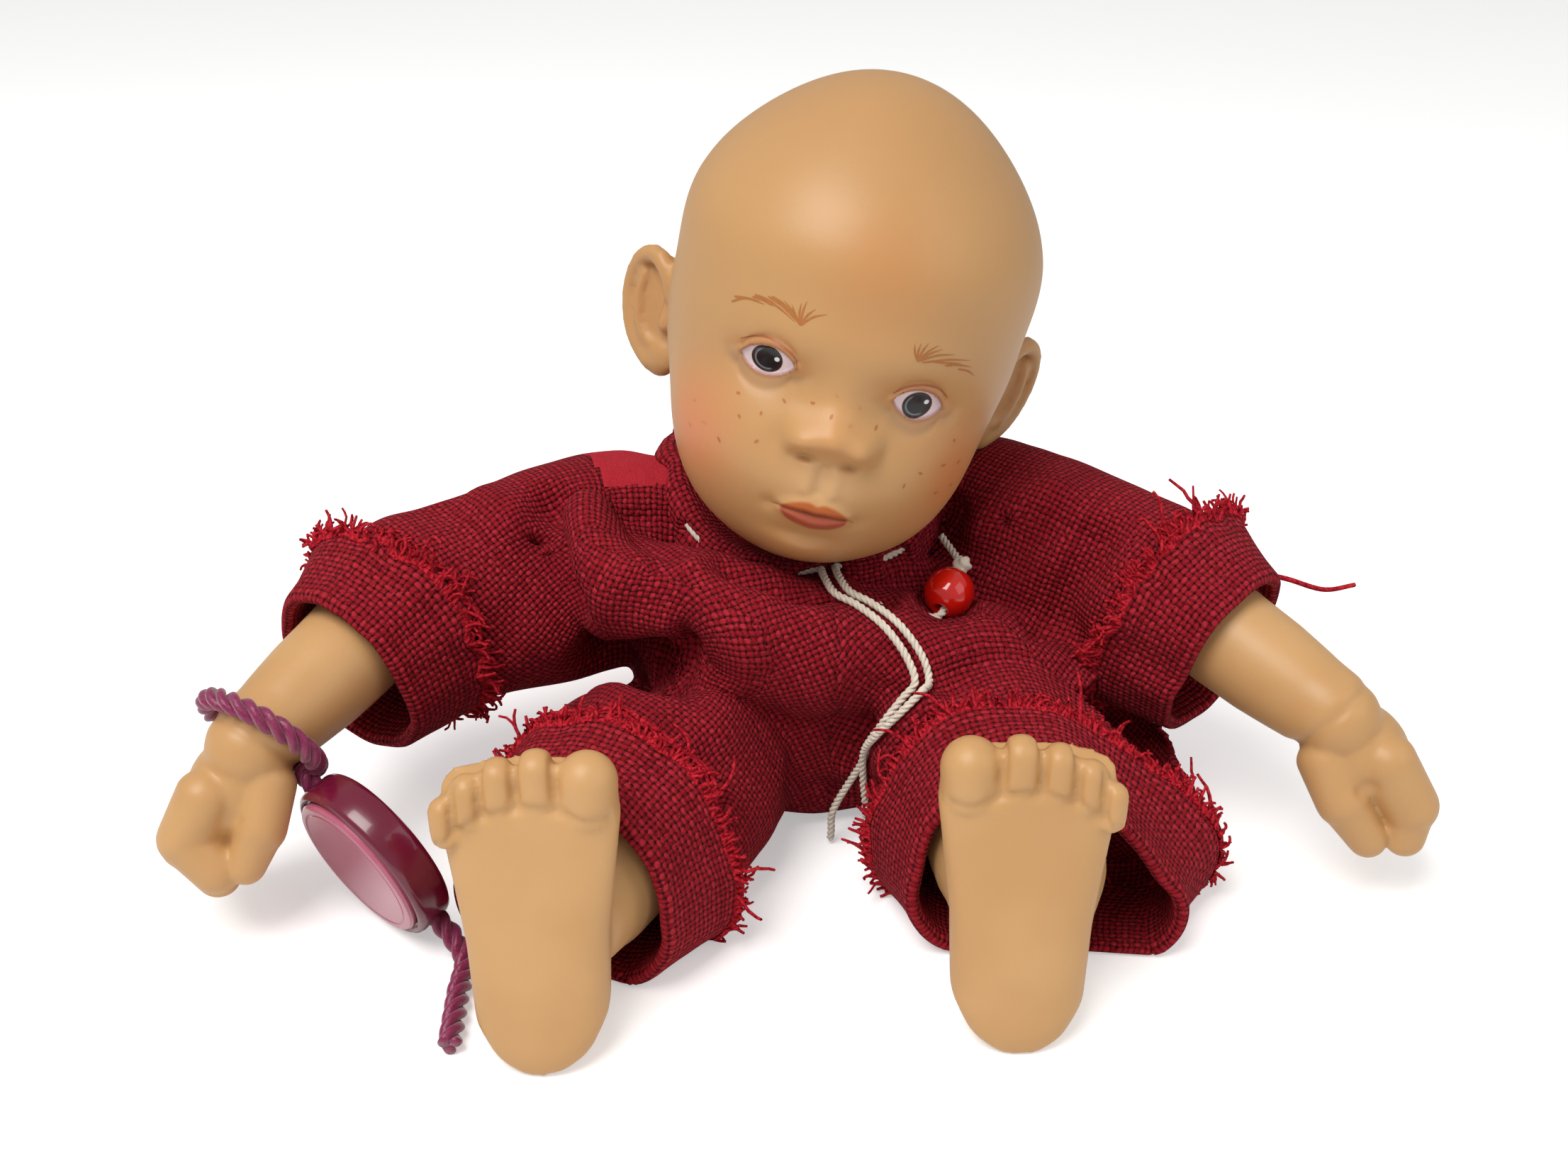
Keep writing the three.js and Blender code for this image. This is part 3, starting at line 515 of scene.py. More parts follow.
def earPieces(side):
    turn = np.array(Matrix.Rotation(math.radians(earForm["flare"]), 3, "Z")
                    @ Matrix.Rotation(math.radians(earForm["lean"]), 3, "Y"))
    at = np.array(earForm["at"])
    pieces = [ball((6.0, 0.9, 0), earForm["plate"]), ball((5.2, 0.3, -7.2), (3.6, 2.0, 3.6)),
              rod((3.4, -1.0, -1.5), (3.2, -0.6, 2.0), 1.5, 1.3)]
    rimLine = [(2.6, -1.2, 3.2), (3.6, -1.6, 6.6), (6.6, -1.3, 9.2), (10.4, -0.6, 8.4), (13.0, 0.2, 4.6),
               (13.4, 0.4, 0.4), (12.0, 0.2, -3.8), (9.4, -0.1, -6.8), (6.8, -0.2, -8.6)]
    ridge = [(9.6, -0.7, 5.6), (10.2, -0.9, 2.2), (9.8, -0.9, -1.6), (8.2, -0.8, -4.6), (5.6, -0.6, -5.6)]
    for line, radius in ((rimLine, earForm["rim"]), (ridge, 1.0)):
        path = curveThrough(line, 1.2)
        pieces += [rod(a, b, radius, radius) for a, b in zip(path[:-1:2], path[2::2])]
    for piece in pieces:
        p = pointsOf(piece) @ turn.T + at
        if side < 0:
            p[:, 0] *= -1
            piece.data.flip_normals()
        setPoints(piece, p)
    return pieces


letGo()
bpy.ops.mesh.primitive_uv_sphere_add(segments=128, ring_count=88, radius=1)
skull = bpy.context.object
setPoints(skull, skullPoints(pointsOf(skull)))
neckStem = rod((0, 4, -20), (0, 4, -37), 11.2, 8.4)
head = moulded("head", [skull, neckStem, *earPieces(1), *earPieces(-1)], headForm["voxel"], 5)

# finer faces where the face is
takeHold(head)
bpy.ops.object.mode_set(mode="EDIT")
bpy.ops.mesh.select_all(action="DESELECT")
bpy.ops.object.mode_set(mode="OBJECT")
centres = np.array([f.center for f in head.data.polygons])
fine = (centres[:, 1] < -19) & (np.abs(centres[:, 0]) < 17.5) & (centres[:, 2] < 0.5) & (centres[:, 2] > -28)
head.data.polygons.foreach_set("select", fine)
bpy.ops.object.mode_set(mode="EDIT")
bpy.ops.mesh.select_mode(type="FACE")
bpy.ops.mesh.subdivide(number_cuts=1)
bpy.ops.object.mode_set(mode="OBJECT")


def bell(p, x, z, width, height):
    return np.exp(-((p[:, 0] - x) / width) ** 2 - ((p[:, 2] - z) / height) ** 2)


def lidEdge(p, side):  # how far inside the eye opening, and over or under its middle line
    cx, cz = headForm["eyes"][side]
    a = (p[:, 0] - cx) * side / headForm["eyeHalf"]
    b = p[:, 2] - cz
    arch = np.sqrt(np.clip(1 - a**2, 0, 1))
    top = headForm["lidUp"] * (0.35 * arch**2 + 0.65 * arch) - 0.35 * a
    low = -headForm["lidDown"] * (0.5 * arch**2 + 0.5 * arch) - 0.35 * a
    inside = np.minimum(top - b, b - low)
    beyond = np.clip(np.abs(a) - 1, 0, None) * headForm["eyeHalf"]
    inside = np.where(np.abs(a) > 1, -np.hypot(beyond, b + 0.35 * np.sign(a)), inside)
    return inside, top, low, a, b


def lipLines(p):
    x = (p[:, 0] - headForm["mouth"][0]) / headForm["mouthHalf"]
    arch = np.clip(1 - x**2, 0, 1)
    seam = headForm["mouth"][1] - 0.25 * np.abs(x) ** 2 + 0.15 * np.exp(-(x / 0.25) ** 2) * -1
    top = seam + 2.0 * arch**0.7 - 0.35 * np.exp(-(x / 0.14) ** 2)
    low = seam - 2.75 * arch**0.55
    return x, seam, top, low


def sculptFace(p):
    front = ease(-p[:, 1], 6, 17)
    q = p.copy()
    for x, z, width, height, push in headForm["swellings"] + headForm["nose"]:
        q[:, 1] -= push * front * bell(q, x, z, width, height)
    # groove under the nose, with a ridge at each side
    run = ease(q[:, 2], -21, -19.5) * ease(-q[:, 2], 14.5, 16)
    q[:, 1] += front * run * (0.55 * np.exp(-(q[:, 0] / 1.1) ** 2)
                              - 0.3 * np.exp(-((np.abs(q[:, 0]) - 2.1) / 1.1) ** 2))
    # lips: two soft rolls, the seam between, the hollow below
    x, seam, top, low = lipLines(q)
    wide = np.exp(-(x / 0.95) ** 4)
    q[:, 1] -= front * wide * 0.95 * np.exp(-((q[:, 2] - (seam + top) / 2) / 1.25) ** 2)
    q[:, 1] -= front * wide * 1.25 * np.exp(-((q[:, 2] - (seam + low) / 2) / 1.35) ** 2)
    q[:, 1] += front * np.exp(-(x / 1.12) ** 6) * 0.55 * np.exp(-((q[:, 2] - seam) / 0.42) ** 2)
    q[:, 1] += front * 0.9 * bell(q, headForm["mouth"][0], -28.0, 5.0, 1.5)
    for side in (-1, 1):
        q[:, 1] += front * 0.45 * bell(q, headForm["mouth"][0] + side * 6.6, -23.7, 1.4, 1.2)
    # eyes: a ball in each socket, lids round it, and the fold over the upper lid
    for side in (-1, 1):
        inside, lidTop, lidLow, a, b = lidEdge(q, side)
        near = np.exp(-((q[:, 0] - headForm["eyes"][side][0]) / 7) ** 4 - (b / 6) ** 4) * front
        bulge = np.clip(1 - a**2 * 0.9 - (b / 3.1) ** 2, -0.4, 1)
        q[:, 1] -= near * np.where(inside > 0, 0.85 * bulge - 0.5 * ease(inside, 0, 0.35), 0)
        overLid = np.where(inside <= 0, 0.5 * np.exp(-(inside / 1.1) ** 2), 0)
        upper = ease(b, -0.8, 0.8)
        q[:, 1] -= near * overLid * (0.5 + 0.7 * upper)
        fold = np.exp(-((inside + 1.25) / 0.38) ** 2) * upper
        q[:, 1] += near * 0.42 * fold * np.exp(-(a / 1.15) ** 6)
        q[:, 1] += near * 0.3 * np.exp(-((inside + 2.2) / 0.8) ** 2) * (1 - upper)
    return q


def snapToLids(p):  # crisp lid edges: the closest vertices slide onto the line
    for side in (-1, 1):
        inside, lidTop, lidLow, a, b = lidEdge(p, side)
        close = (np.abs(inside) < 0.16) & (np.abs(a) < 0.97) & (p[:, 1] < -15)
        toTop = np.abs(lidTop - b) < np.abs(b - lidLow)
        p[:, 2] += np.where(close, np.where(toTop, lidTop - b, lidLow - b), 0)
    return p


headPoints = snapToLids(pointsOf(head))
sculpted = sculptFace(headPoints)
setPoints(head, sculpted)


def paintAndShadeLayers(p):
    tone = np.tile(np.array(tint(*vinylPaint["base"])[:3]), (len(p), 1))
    r = p / np.array(headForm["half"])

    def wash(mask, colour, strength):
        m = np.clip(mask * strength, 0, 1)[:, None]
        tone[:] = tone * (1 - m) + np.array(tint(*colour)[:3]) * m

    def spotAt(x, y, z, size):
        return np.exp(-(((p - np.array([x, y, z])) / size) ** 2).sum(1))

    # darker over the crown: partly the vinyl's own darker paint there, partly painted shade
    wash(ease(r[:, 2], 0.35, 0.95), (186, 140, 92), 0.5)
    # painted shade: the lower face darkens towards the jaw and under the chin
    wash(ease(-p[:, 2], 20, 36), (188, 136, 84), 0.6)
    wash(spotAt(1.2, -31, 13.3, 9), (200, 132, 76), 0.45)
    wash(spotAt(-19.5, -23, -18.5, 8.5), (224, 134, 92), 0.7)
    wash(spotAt(20.5, -22, -16.5, 8.5), (216, 128, 72), 0.62)
    wash(spotAt(0, -37, -11, 6), (216, 150, 90), 0.35)
    wash(spotAt(0.3, -32, -30, 8), (198, 138, 84), 0.4)
    wash(spotAt(0.5, -33, -18, 4.5), (230, 190, 142), 0.5)
    for side in (-1, 1):
        cx, cz = headForm["eyes"][side]
        inside, lidTop, lidLow, a, b = lidEdge(p, side)
        front = ease(-p[:, 1], 10, 18)
        wash(front * np.exp(-((inside + 1.0) / 1.5) ** 2) * ease(b, -0.5, 1), (188, 122, 72), 0.5)
        wash(front * np.exp(-((inside + 1.4) / 1.1) ** 2) * ease(-b, 0, 1.5), (168, 132, 104), 0.42)
        wash(front * np.exp(-((inside + 0.15) / 0.35) ** 2), (150, 96, 74), 0.55)
        # inside of each ear
        wash(spotAt(side * 32, 6, -10, 6.5), (196, 132, 80), 0.4)
    return tone


inner = np.full(len(headPoints), -9.0)
irisRun = np.full(len(headPoints), 9.0)
irisSide = np.zeros(len(headPoints))
glintRun = np.full(len(headPoints), 9.0)
for side in (-1, 1):
    own = (headPoints[:, 0] * side > 0) & (headPoints[:, 1] < -12)
    inside, _, _, _, _ = lidEdge(headPoints, side)
    inner = np.where(own, inside, inner)
    ix, iz = headForm["irises"][side]
    irisRun = np.where(own, np.hypot(headPoints[:, 0] - ix, (headPoints[:, 2] - iz) * 1.04), irisRun)
    irisSide = np.where(own, (headPoints[:, 0] - ix) * 0.8 + (headPoints[:, 2] - iz) * 0.6, irisSide)
    gx, gz = headForm["glints"][side]
    glintRun = np.where(own, np.hypot(headPoints[:, 0] - gx, headPoints[:, 2] - gz), glintRun)
floatLayer(head, "eyeEdge", inner)
floatLayer(head, "irisRun", irisRun)
floatLayer(head, "irisSide", irisSide)
floatLayer(head, "glintRun", glintRun)
mouthX, mouthSeam, mouthTop, mouthLow = lipLines(headPoints)
lipEdge = np.minimum(np.minimum(mouthTop - headPoints[:, 2], headPoints[:, 2] - mouthLow), (1 - np.abs(mouthX)) * 3)
floatLayer(head, "lipEdge", np.where(headPoints[:, 1] < -18, lipEdge, -5))
floatLayer(head, "lipSide", headPoints[:, 2] - mouthSeam)
floatLayer(head, "lipSeam", np.abs(headPoints[:, 2] - mouthSeam))
colourLayer(head, "paint", paintAndShadeLayers(sculpted))
print("head sculpted,", len(head.data.polygons), "faces")

# brushed brows, lid lines and freckles lie on the skin as thin paint
facePaint = {
    "brows": [
        [(-8.5, 3.3), (-10, 4.8), (-11.5, 5.8)], [(-8.5, 3.3), (-9.6, 4.6), (-10.3, 5.7)],
        [(-8.5, 3.3), (-9, 4.8), (-9.1, 6.3)], [(-8.5, 3.3), (-8.6, 5.2), (-8.4, 6.8)],
        [(-8.5, 3.3), (-7.9, 4.9), (-7, 6.1)], [(-8.5, 3.3), (-7.1, 4.9), (-5.3, 5.9)],
        [(-13.7, 5.5), (-11.3, 4.9), (-8.5, 3.3)], [(-14.7, 4.7), (-12.1, 4.6), (-9.3, 3.5)],
        [(-13.2, 5.7), (-11.2, 5.2), (-9.4, 4.0)], [(-15.6, 4.9), (-13.6, 5.0), (-11.3, 4.4)],
        [(-18.5, 2.4), (-16.8, 3.8), (-14.6, 4.4)], [(-18.3, 3.3), (-16.3, 4.0), (-13.9, 4.2)],
        [(-15.8, 4.5), (-14.3, 4.7), (-12.9, 4.4)],
        [(8.9, 2.3), (8.1, 3.6), (7.8, 4.7)], [(8.9, 2.3), (8.6, 3.6), (8.7, 4.9)],
        [(8.9, 2.3), (9.2, 3.8), (9.8, 5.1)], [(8.9, 2.3), (10, 3.8), (11.4, 4.9)],
        [(8.9, 2.3), (10.3, 3.5), (12.1, 4.4)], [(8.9, 2.3), (11.5, 3.4), (14.3, 3.7)],
        [(9.6, 2.2), (13.5, 2.9), (17.1, 2.8)], [(11, 2.5), (13.4, 2.4), (15.6, 2.4)],
        [(13.2, 2.0), (15.4, 2.1), (17.7, 1.7)], [(15.4, 1.5), (17.2, 1.1), (18.6, 0.2)],
    ],
    "lidLines": [[(-16, -2.1), (-14.4, -0.9), (-12.3, -0.1), (-9.8, -0.6), (-7.8, -1.9), (-7.3, -3.4)],
                 [(6.9, -3.4), (8.9, -1.9), (11.4, -1.4), (13.6, -2.0), (15.4, -3.4)]],
    "mouthCorners": [[(-6.2, -23.6), (-5.6, -23.4), (-5.0, -23.2)], [(5.4, -23.4), (5.9, -23.6), (6.4, -23.9)]],
    "freckles": [(-14.5, -9.9), (-7.9, -8.5), (-4, -7.2), (-10.7, -11.2), (-13.6, -12.8), (-1.1, -7.9), (5.8, -8.7),
                 (-15.6, -17.4), (-10.4, -15.1), (18.7, -10.4), (18, -14.1), (20.7, -14.3), (14.4, -14.9),
                 (12.3, -16.8), (18.1, -18.7), (20.6, -18.1)],
    "faintFreckles": [(-1, -5.1), (2.7, -6.1), (1.9, -8.5), (-20.4, -14.4), (-18.3, -16.4), (-20.2, -18.2)],
    "lift": 0.035,
}
skinTree = BVHTree.FromPolygons(sculpted.tolist(), [tuple(f.vertices) for f in head.data.polygons])


def onFace(x, z):
    hit, normal, _, _ = skinTree.ray_cast(Vector((x, -60, z)), Vector((0, 1, 0)))
    return np.array(hit) + np.array(normal) * facePaint["lift"]


def brushed(name, strokes, width, colour, taper=True):
    points, faces = [], []
    for stroke in strokes:
        line = curveThrough([(x, 0, z) for x, z in stroke], 0.35)[:, [0, 2]]
        way = np.gradient(line, axis=0)
        way /= np.linalg.norm(way, axis=1)[:, None]
        t = np.linspace(0, 1, len(line))
        half = 0.5 * width * (np.clip(np.minimum(t * 7 + 0.5, (1 - t) * 2.2 + 0.12), 0, 1) if taper else np.sin(
            math.pi * np.clip(t, 0.06, 0.94)) ** 0.5)
        first = len(points)
        for (x, z), (dx, dz), h in zip(line, way, half):
            points += [onFace(x - dz * h, z + dx * h), onFace(x + dz * h, z - dx * h)]
        faces += [(first + 2 * i, first + 2 * i + 1, first + 2 * i + 3, first + 2 * i + 2)
                  for i in range(len(line) - 1)]
    return paintPiece(name, points, faces, colour)


def dotted(name, spots, size, colour, seed):
    dice = np.random.default_rng(seed)
    points, faces = [], []
    for x, z in spots:
        turn, long = dice.uniform(0, 3.1), dice.uniform(1.0, 1.7)
        first = len(points)
        for k in range(9):
            t = 2 * math.pi * k / 9
            u, v = size * long * math.cos(t), size * 0.75 * math.sin(t)
            points.append(onFace(x + u * math.cos(turn) - v * math.sin(turn),
                                 z + u * math.sin(turn) + v * math.cos(turn)))
        faces.append(tuple(range(first, first + 9)))
    return paintPiece(name, points, faces, colour)


def paintPiece(name, points, faces, colour):
    piece = madeOf(name, np.array(points) @ headTurn.T + headAt, faces)
    away = np.array([f.normal for f in piece.data.polygons]).mean(0) @ headTurn[:, 1] > 0
    if away:
        piece.data.flip_normals()
    made, tree, shader = finishOf(name, roughness=0.5)
    tone = specks(tree, objectPlace(tree), 1400, 2)
    colourBy(tree, shader, mixed(tree, tone, tint(*colour), tint(*[min(255, c * 1.18) for c in colour])))
    dress(inMetres(piece), made)
    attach(piece, "head")
    return piece


brushed("browStrokes", facePaint["brows"], 0.3, (160, 98, 44))
brushed("lidLines", facePaint["lidLines"], 0.34, (150, 84, 46), taper=False)
brushed("mouthCorners", facePaint["mouthCorners"], 0.26, (168, 108, 64), taper=False)
dotted("freckles", facePaint["freckles"], 0.28, (166, 100, 50), 3)
dotted("faintFreckles", facePaint["faintFreckles"], 0.26, (182, 126, 72), 5)
setPoints(head, sculpted @ headTurn.T + headAt)
dress(inMetres(head), vinylFinish("paintedVinyl", painted=True))
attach(head, "head")
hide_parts("head")
print("face painted")

# limbs: vinyl arms with hands and legs with feet
armForm = {
    -1: {"name": "right", "shoulder": (-29.6, 4, 38.5), "aim": (-40.8, -5.3, -0.5), "fore": (-24.2, -24.8, -8),
         "reach": (-11, -4, -24)},
    1: {"name": "left", "shoulder": (20.4, 4, 38.5), "aim": (27.7, -33.1, 1), "fore": (16.6, -29, -9.6),
        "reach": (12.4, -6, -21.5)},
    "thumbWay": (-0.24, -0.97, 0), "elbow": 42, "foreLength": 36, "voxel": 0.45,
}
legForm = {
    "ankle": 62, "height": 16.7, "voxel": 0.5,
    -1: {"name": "right", "hip": (-20.4, -15.5, 16.7), "aim": (-46.2, -59, -1.2), "toes": (0, 0.1, 1), "turn": 22},
    1: {"name": "left", "hip": (17.6, -15.5, 16.7), "aim": (-11.8, -70, -1.2), "toes": (0.06, 0.1, 1), "turn": 4},
    # sole: share along, half width, and toes: half width, place across, how far back
    "sole": [(0, 4.7), (0.04, 7.3), (0.14, 9.4), (0.4, 10.0), (0.62, 11.3), (0.8, 12.4), (0.92, 11.8)],
    "toes": [(4.3, 8.6, 0.055), (3.15, 2.1, 0.0), (2.85, -3.1, 0.012), (2.5, -7.4, 0.05), (2.1, -10.7, 0.11)],
    "length": 40, "depth": 14, "slope": 0.291,
}


def tubeAlong(name, path, radii, sides=36):
    _, side, rise = carriedFrames(path)
    t = np.linspace(0, 2 * math.pi, sides, endpoint=False)
    circle = np.cos(t)[None, :, None] * side[:, None, :] + np.sin(t)[None, :, None] * rise[:, None, :]
    return skin(name, path[:, None, :] + circle * np.asarray(radii)[:, None, None])


def placed(pieces, turn, at):
    for piece in pieces:
        setPoints(piece, pointsOf(piece) @ np.asarray(turn).T + np.asarray(at))
    return pieces


# hands seen from the thumb's side, y towards the palm: middles and half sizes, then rods with both ends' radii
handForm = {
    -1: {"palm": [((0, 0, 1), (6.6, 6.5, 6.5)), ((-0.5, -0.4, 8), (7.4, 7.0, 8.6))],  # a loose fist
         "fingers": [((4.2, -3.6, 9), (5.0, -4.4, 15.5), 4.6, 4.1), ((5.0, -4.4, 15.5), (5.6, 1.4, 18.6), 4.0, 3.6),
                     ((0.8, -3.8, 11), (1.6, -4.4, 18), 4.3, 3.8), ((1.6, -4.4, 18), (2.2, 1.6, 21), 3.7, 3.4),
                     ((-2.8, -3.2, 11), (-2.4, -4.2, 19), 4.2, 3.6), ((-2.4, -4.2, 19), (-1.8, 1.0, 22), 3.5, 3.2),
                     ((-5.6, -2.2, 10), (-5.8, -3.2, 18), 3.7, 3.1), ((-5.8, -3.2, 18), (-5.4, 1.0, 20.5), 3.0, 2.8),
                     ((2.4, 4.2, 5), (4.8, 5.4, 10.5), 4.4, 3.9), ((4.8, 5.4, 10.5), (5.6, 5.2, 16.4), 3.8, 3.0)]},
    1: {"palm": [((0, 0, 1), (6.6, 6.5, 6.5)), ((-0.4, -0.6, 8), (7.6, 7.4, 8.8))],  # an open mitten
        "fingers": [((4.0, -3.4, 9), (4.6, -3.4, 17), 4.7, 4.3), ((4.6, -3.4, 17), (4.6, -0.4, 21.6), 4.1, 3.2),
                    ((0.6, -3.4, 11), (1.0, -3.4, 19), 4.4, 4.0), ((1.0, -3.4, 19), (1.2, -0.2, 23), 3.8, 3.1),
                    ((-2.8, -3.0, 11), (-2.6, -3.0, 19), 4.2, 3.8), ((-2.6, -3.0, 19), (-2.2, 0.2, 22.6), 3.6, 3.0),
                    ((-5.6, -2.2, 10), (-5.8, -2.0, 17.6), 3.7, 3.2),
                    ((-5.8, -2.0, 17.6), (-5.2, 0.8, 20.5), 3.1, 2.7),
                    ((2.6, 4.4, 5), (5.0, 5.2, 11), 4.4, 4.0), ((5.0, 5.2, 11), (5.6, 4.6, 18.4), 3.9, 3.1)]},
}


def buildArm(side):
    pose = armForm[side]
    aim, fore, reach = (unit(pose[k]) for k in ("aim", "fore", "reach"))
    shoulder = np.array(pose["shoulder"])
    elbow = shoulder + aim * armForm["elbow"]
    wrist = elbow + fore * armForm["foreLength"]
    path = curveThrough([shoulder + aim * 16, shoulder + aim * 29, elbow - aim * 4, elbow + fore * 5,
                         elbow + fore * 18, wrist - fore * 5, wrist, wrist + reach * 4], 1.0)
    run = np.linspace(0, 1, len(path))
    radii = np.interp(run, [0, 0.2, 0.42, 0.55, 0.72, 0.88, 0.95, 1], [7.0, 8.0, 8.5, 8.7, 8.2, 7.0, 6.6, 6.0])
    turn = axesOf(reach, armForm["thumbWay"])
    hand = [ball(*part) for part in handForm[side]["palm"]] + [rod(*part) for part in handForm[side]["fingers"]]
    for piece in hand:  # y runs to the palm on both hands
        p = pointsOf(piece)
        p[:, 1] *= side
        setPoints(piece, p)
    arm = moulded(pose["name"] + "Arm", [tubeAlong("sleeveArm", path, radii), *placed(hand, turn, wrist)],
                  armForm["voxel"], 5)
    p = pointsOf(arm)
    local = (p - wrist) @ turn
    away = normalsOf(arm)

    def press(x, y, z, size, depth):
        d = np.linalg.norm(local - np.array([x, y * side, z]), axis=1)
        p[:] -= away * (depth * np.exp(-(d / size) ** 2))[:, None]

    press(8.2, 1.2, 9.5, 1.3, 1.1)  # dimple where the thumb leaves the hand
    bend = (p - wrist) @ unit(reach + fore)
    p -= away * (0.5 * np.exp(-((bend + 0.5) / 1.0) ** 2) * ease(local[:, 0], -5, 3))[:, None]  # wrist crease
    setPoints(arm, p)
    relax(arm, 2)
    dress(inMetres(arm), limbLook)
    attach(arm, pose["name"] + "_arm")
    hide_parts(pose["name"] + "_arm")
    return arm


def footPieces(side):
    low, deepest, mid = 2.8 - legForm["height"], legForm["depth"], legForm["depth"] * 0.42
    share, half = np.array(legForm["sole"]).T
    rings = []
    for along in np.concatenate([np.linspace(0, 0.1, 7), np.linspace(0.12, 0.92, 40)]):
        width = np.interp(along, share, half)
        taper = (1 - 0.38 * ease(along, 0.2, 0.9)) * (0.6 + 0.4 * ease(along, -0.1, 0.12))
        deep = deepest * taper
        t = np.linspace(0, 2 * math.pi, 64, endpoint=False)
        c, s = np.cos(t), np.sin(t)
        c, s = np.sign(c) * np.abs(c) ** 0.8, np.sign(s) * np.abs(s) ** 0.8
        slant = unit([-legForm["slope"], 0, 1])
        centre = np.array([low + along * legForm["length"], side * 0.6 * along,
                           mid - deep * 0.08 - along * legForm["length"] * legForm["slope"]])
        rings.append(centre + c[:, None] * np.array([0, width, 0]) + s[:, None] * slant * deep / 2)
    pieces = [skin("sole", rings)]
    for size, across, back in legForm["toes"]:
        ends = []
        for along in (0.885 - back, 0.965 - back):
            ends.append(np.array([low + along * legForm["length"], side * across,
                                  mid + 4.1 - size - along * legForm["length"] * legForm["slope"]]))
        pieces.append(rod(*ends, size * 0.94, size))
    return pieces


def buildLeg(side):
    pose = legForm[side]
    aim = unit(pose["aim"])
    hip = np.array(pose["hip"])
    turn = axesOf(aim, pose["toes"])
    stations = np.array([(14, 9.9, 0), (26, 10.3, 0), (34, 12.2, 0.5), (43, 13, 1), (50, 12.5, 1), (57, 10.6, 0.5),
                         (62, 9.0, 0.2)])
    z = np.linspace(14, 62, 40)
    bow = -side * 2.6 * np.interp(z, stations[:, 0], stations[:, 2])
    shank = tubeAlong("shank", np.column_stack([z * 0, bow, z]), np.interp(z, stations[:, 0], stations[:, 1]))
    toeIn = np.array(Matrix.Rotation(math.radians(-side * pose["turn"]), 3, "X"))
    foot = placed(footPieces(side), toeIn, (0, 0, legForm["ankle"]))
    leg = moulded(pose["name"] + "Leg", placed([shank, *foot], turn, hip), legForm["voxel"], 3)
    # grooves between the toes and the crease under them
    p, away = pointsOf(leg), normalsOf(leg)
    own = ((p - hip) @ turn - [0, 0, legForm["ankle"]]) @ toeIn
    soleSide = ease((away @ turn) @ toeIn[:, 2], 0.1, 0.6)
    size, across, back = np.array(legForm["toes"]).T
    share = (own[:, 0] - (2.8 - legForm["height"])) / legForm["length"]
    bases = 0.885 - np.interp(-own[:, 1] * side, -across, back)
    depth = np.zeros(len(p))
    for k in range(4):
        gap = (across[k] - size[k] + across[k + 1] + size[k + 1]) / 2
        depth += 0.75 * np.exp(-((own[:, 1] * side - gap) / 0.6) ** 2) * ease(share - bases, -0.03, 0.02)
    depth += 0.5 * np.exp(-((share - bases + 0.01) / 0.02) ** 2) * soleSide * (np.abs(own[:, 1]) < 12)
    setPoints(leg, p - away * (depth * np.maximum(soleSide, ease(share, 0.95, 1.0)))[:, None])
    modify(leg, "SMOOTH", factor=0.4, iterations=1)
    dress(inMetres(leg), limbLook)
    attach(leg, pose["name"] + "_leg")
    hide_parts(pose["name"] + "_leg")
    return leg


limbLook = vinylFinish("plainVinyl")
for side in (-1, 1):
    buildArm(side)
    buildLeg(side)
print("limbs moulded")


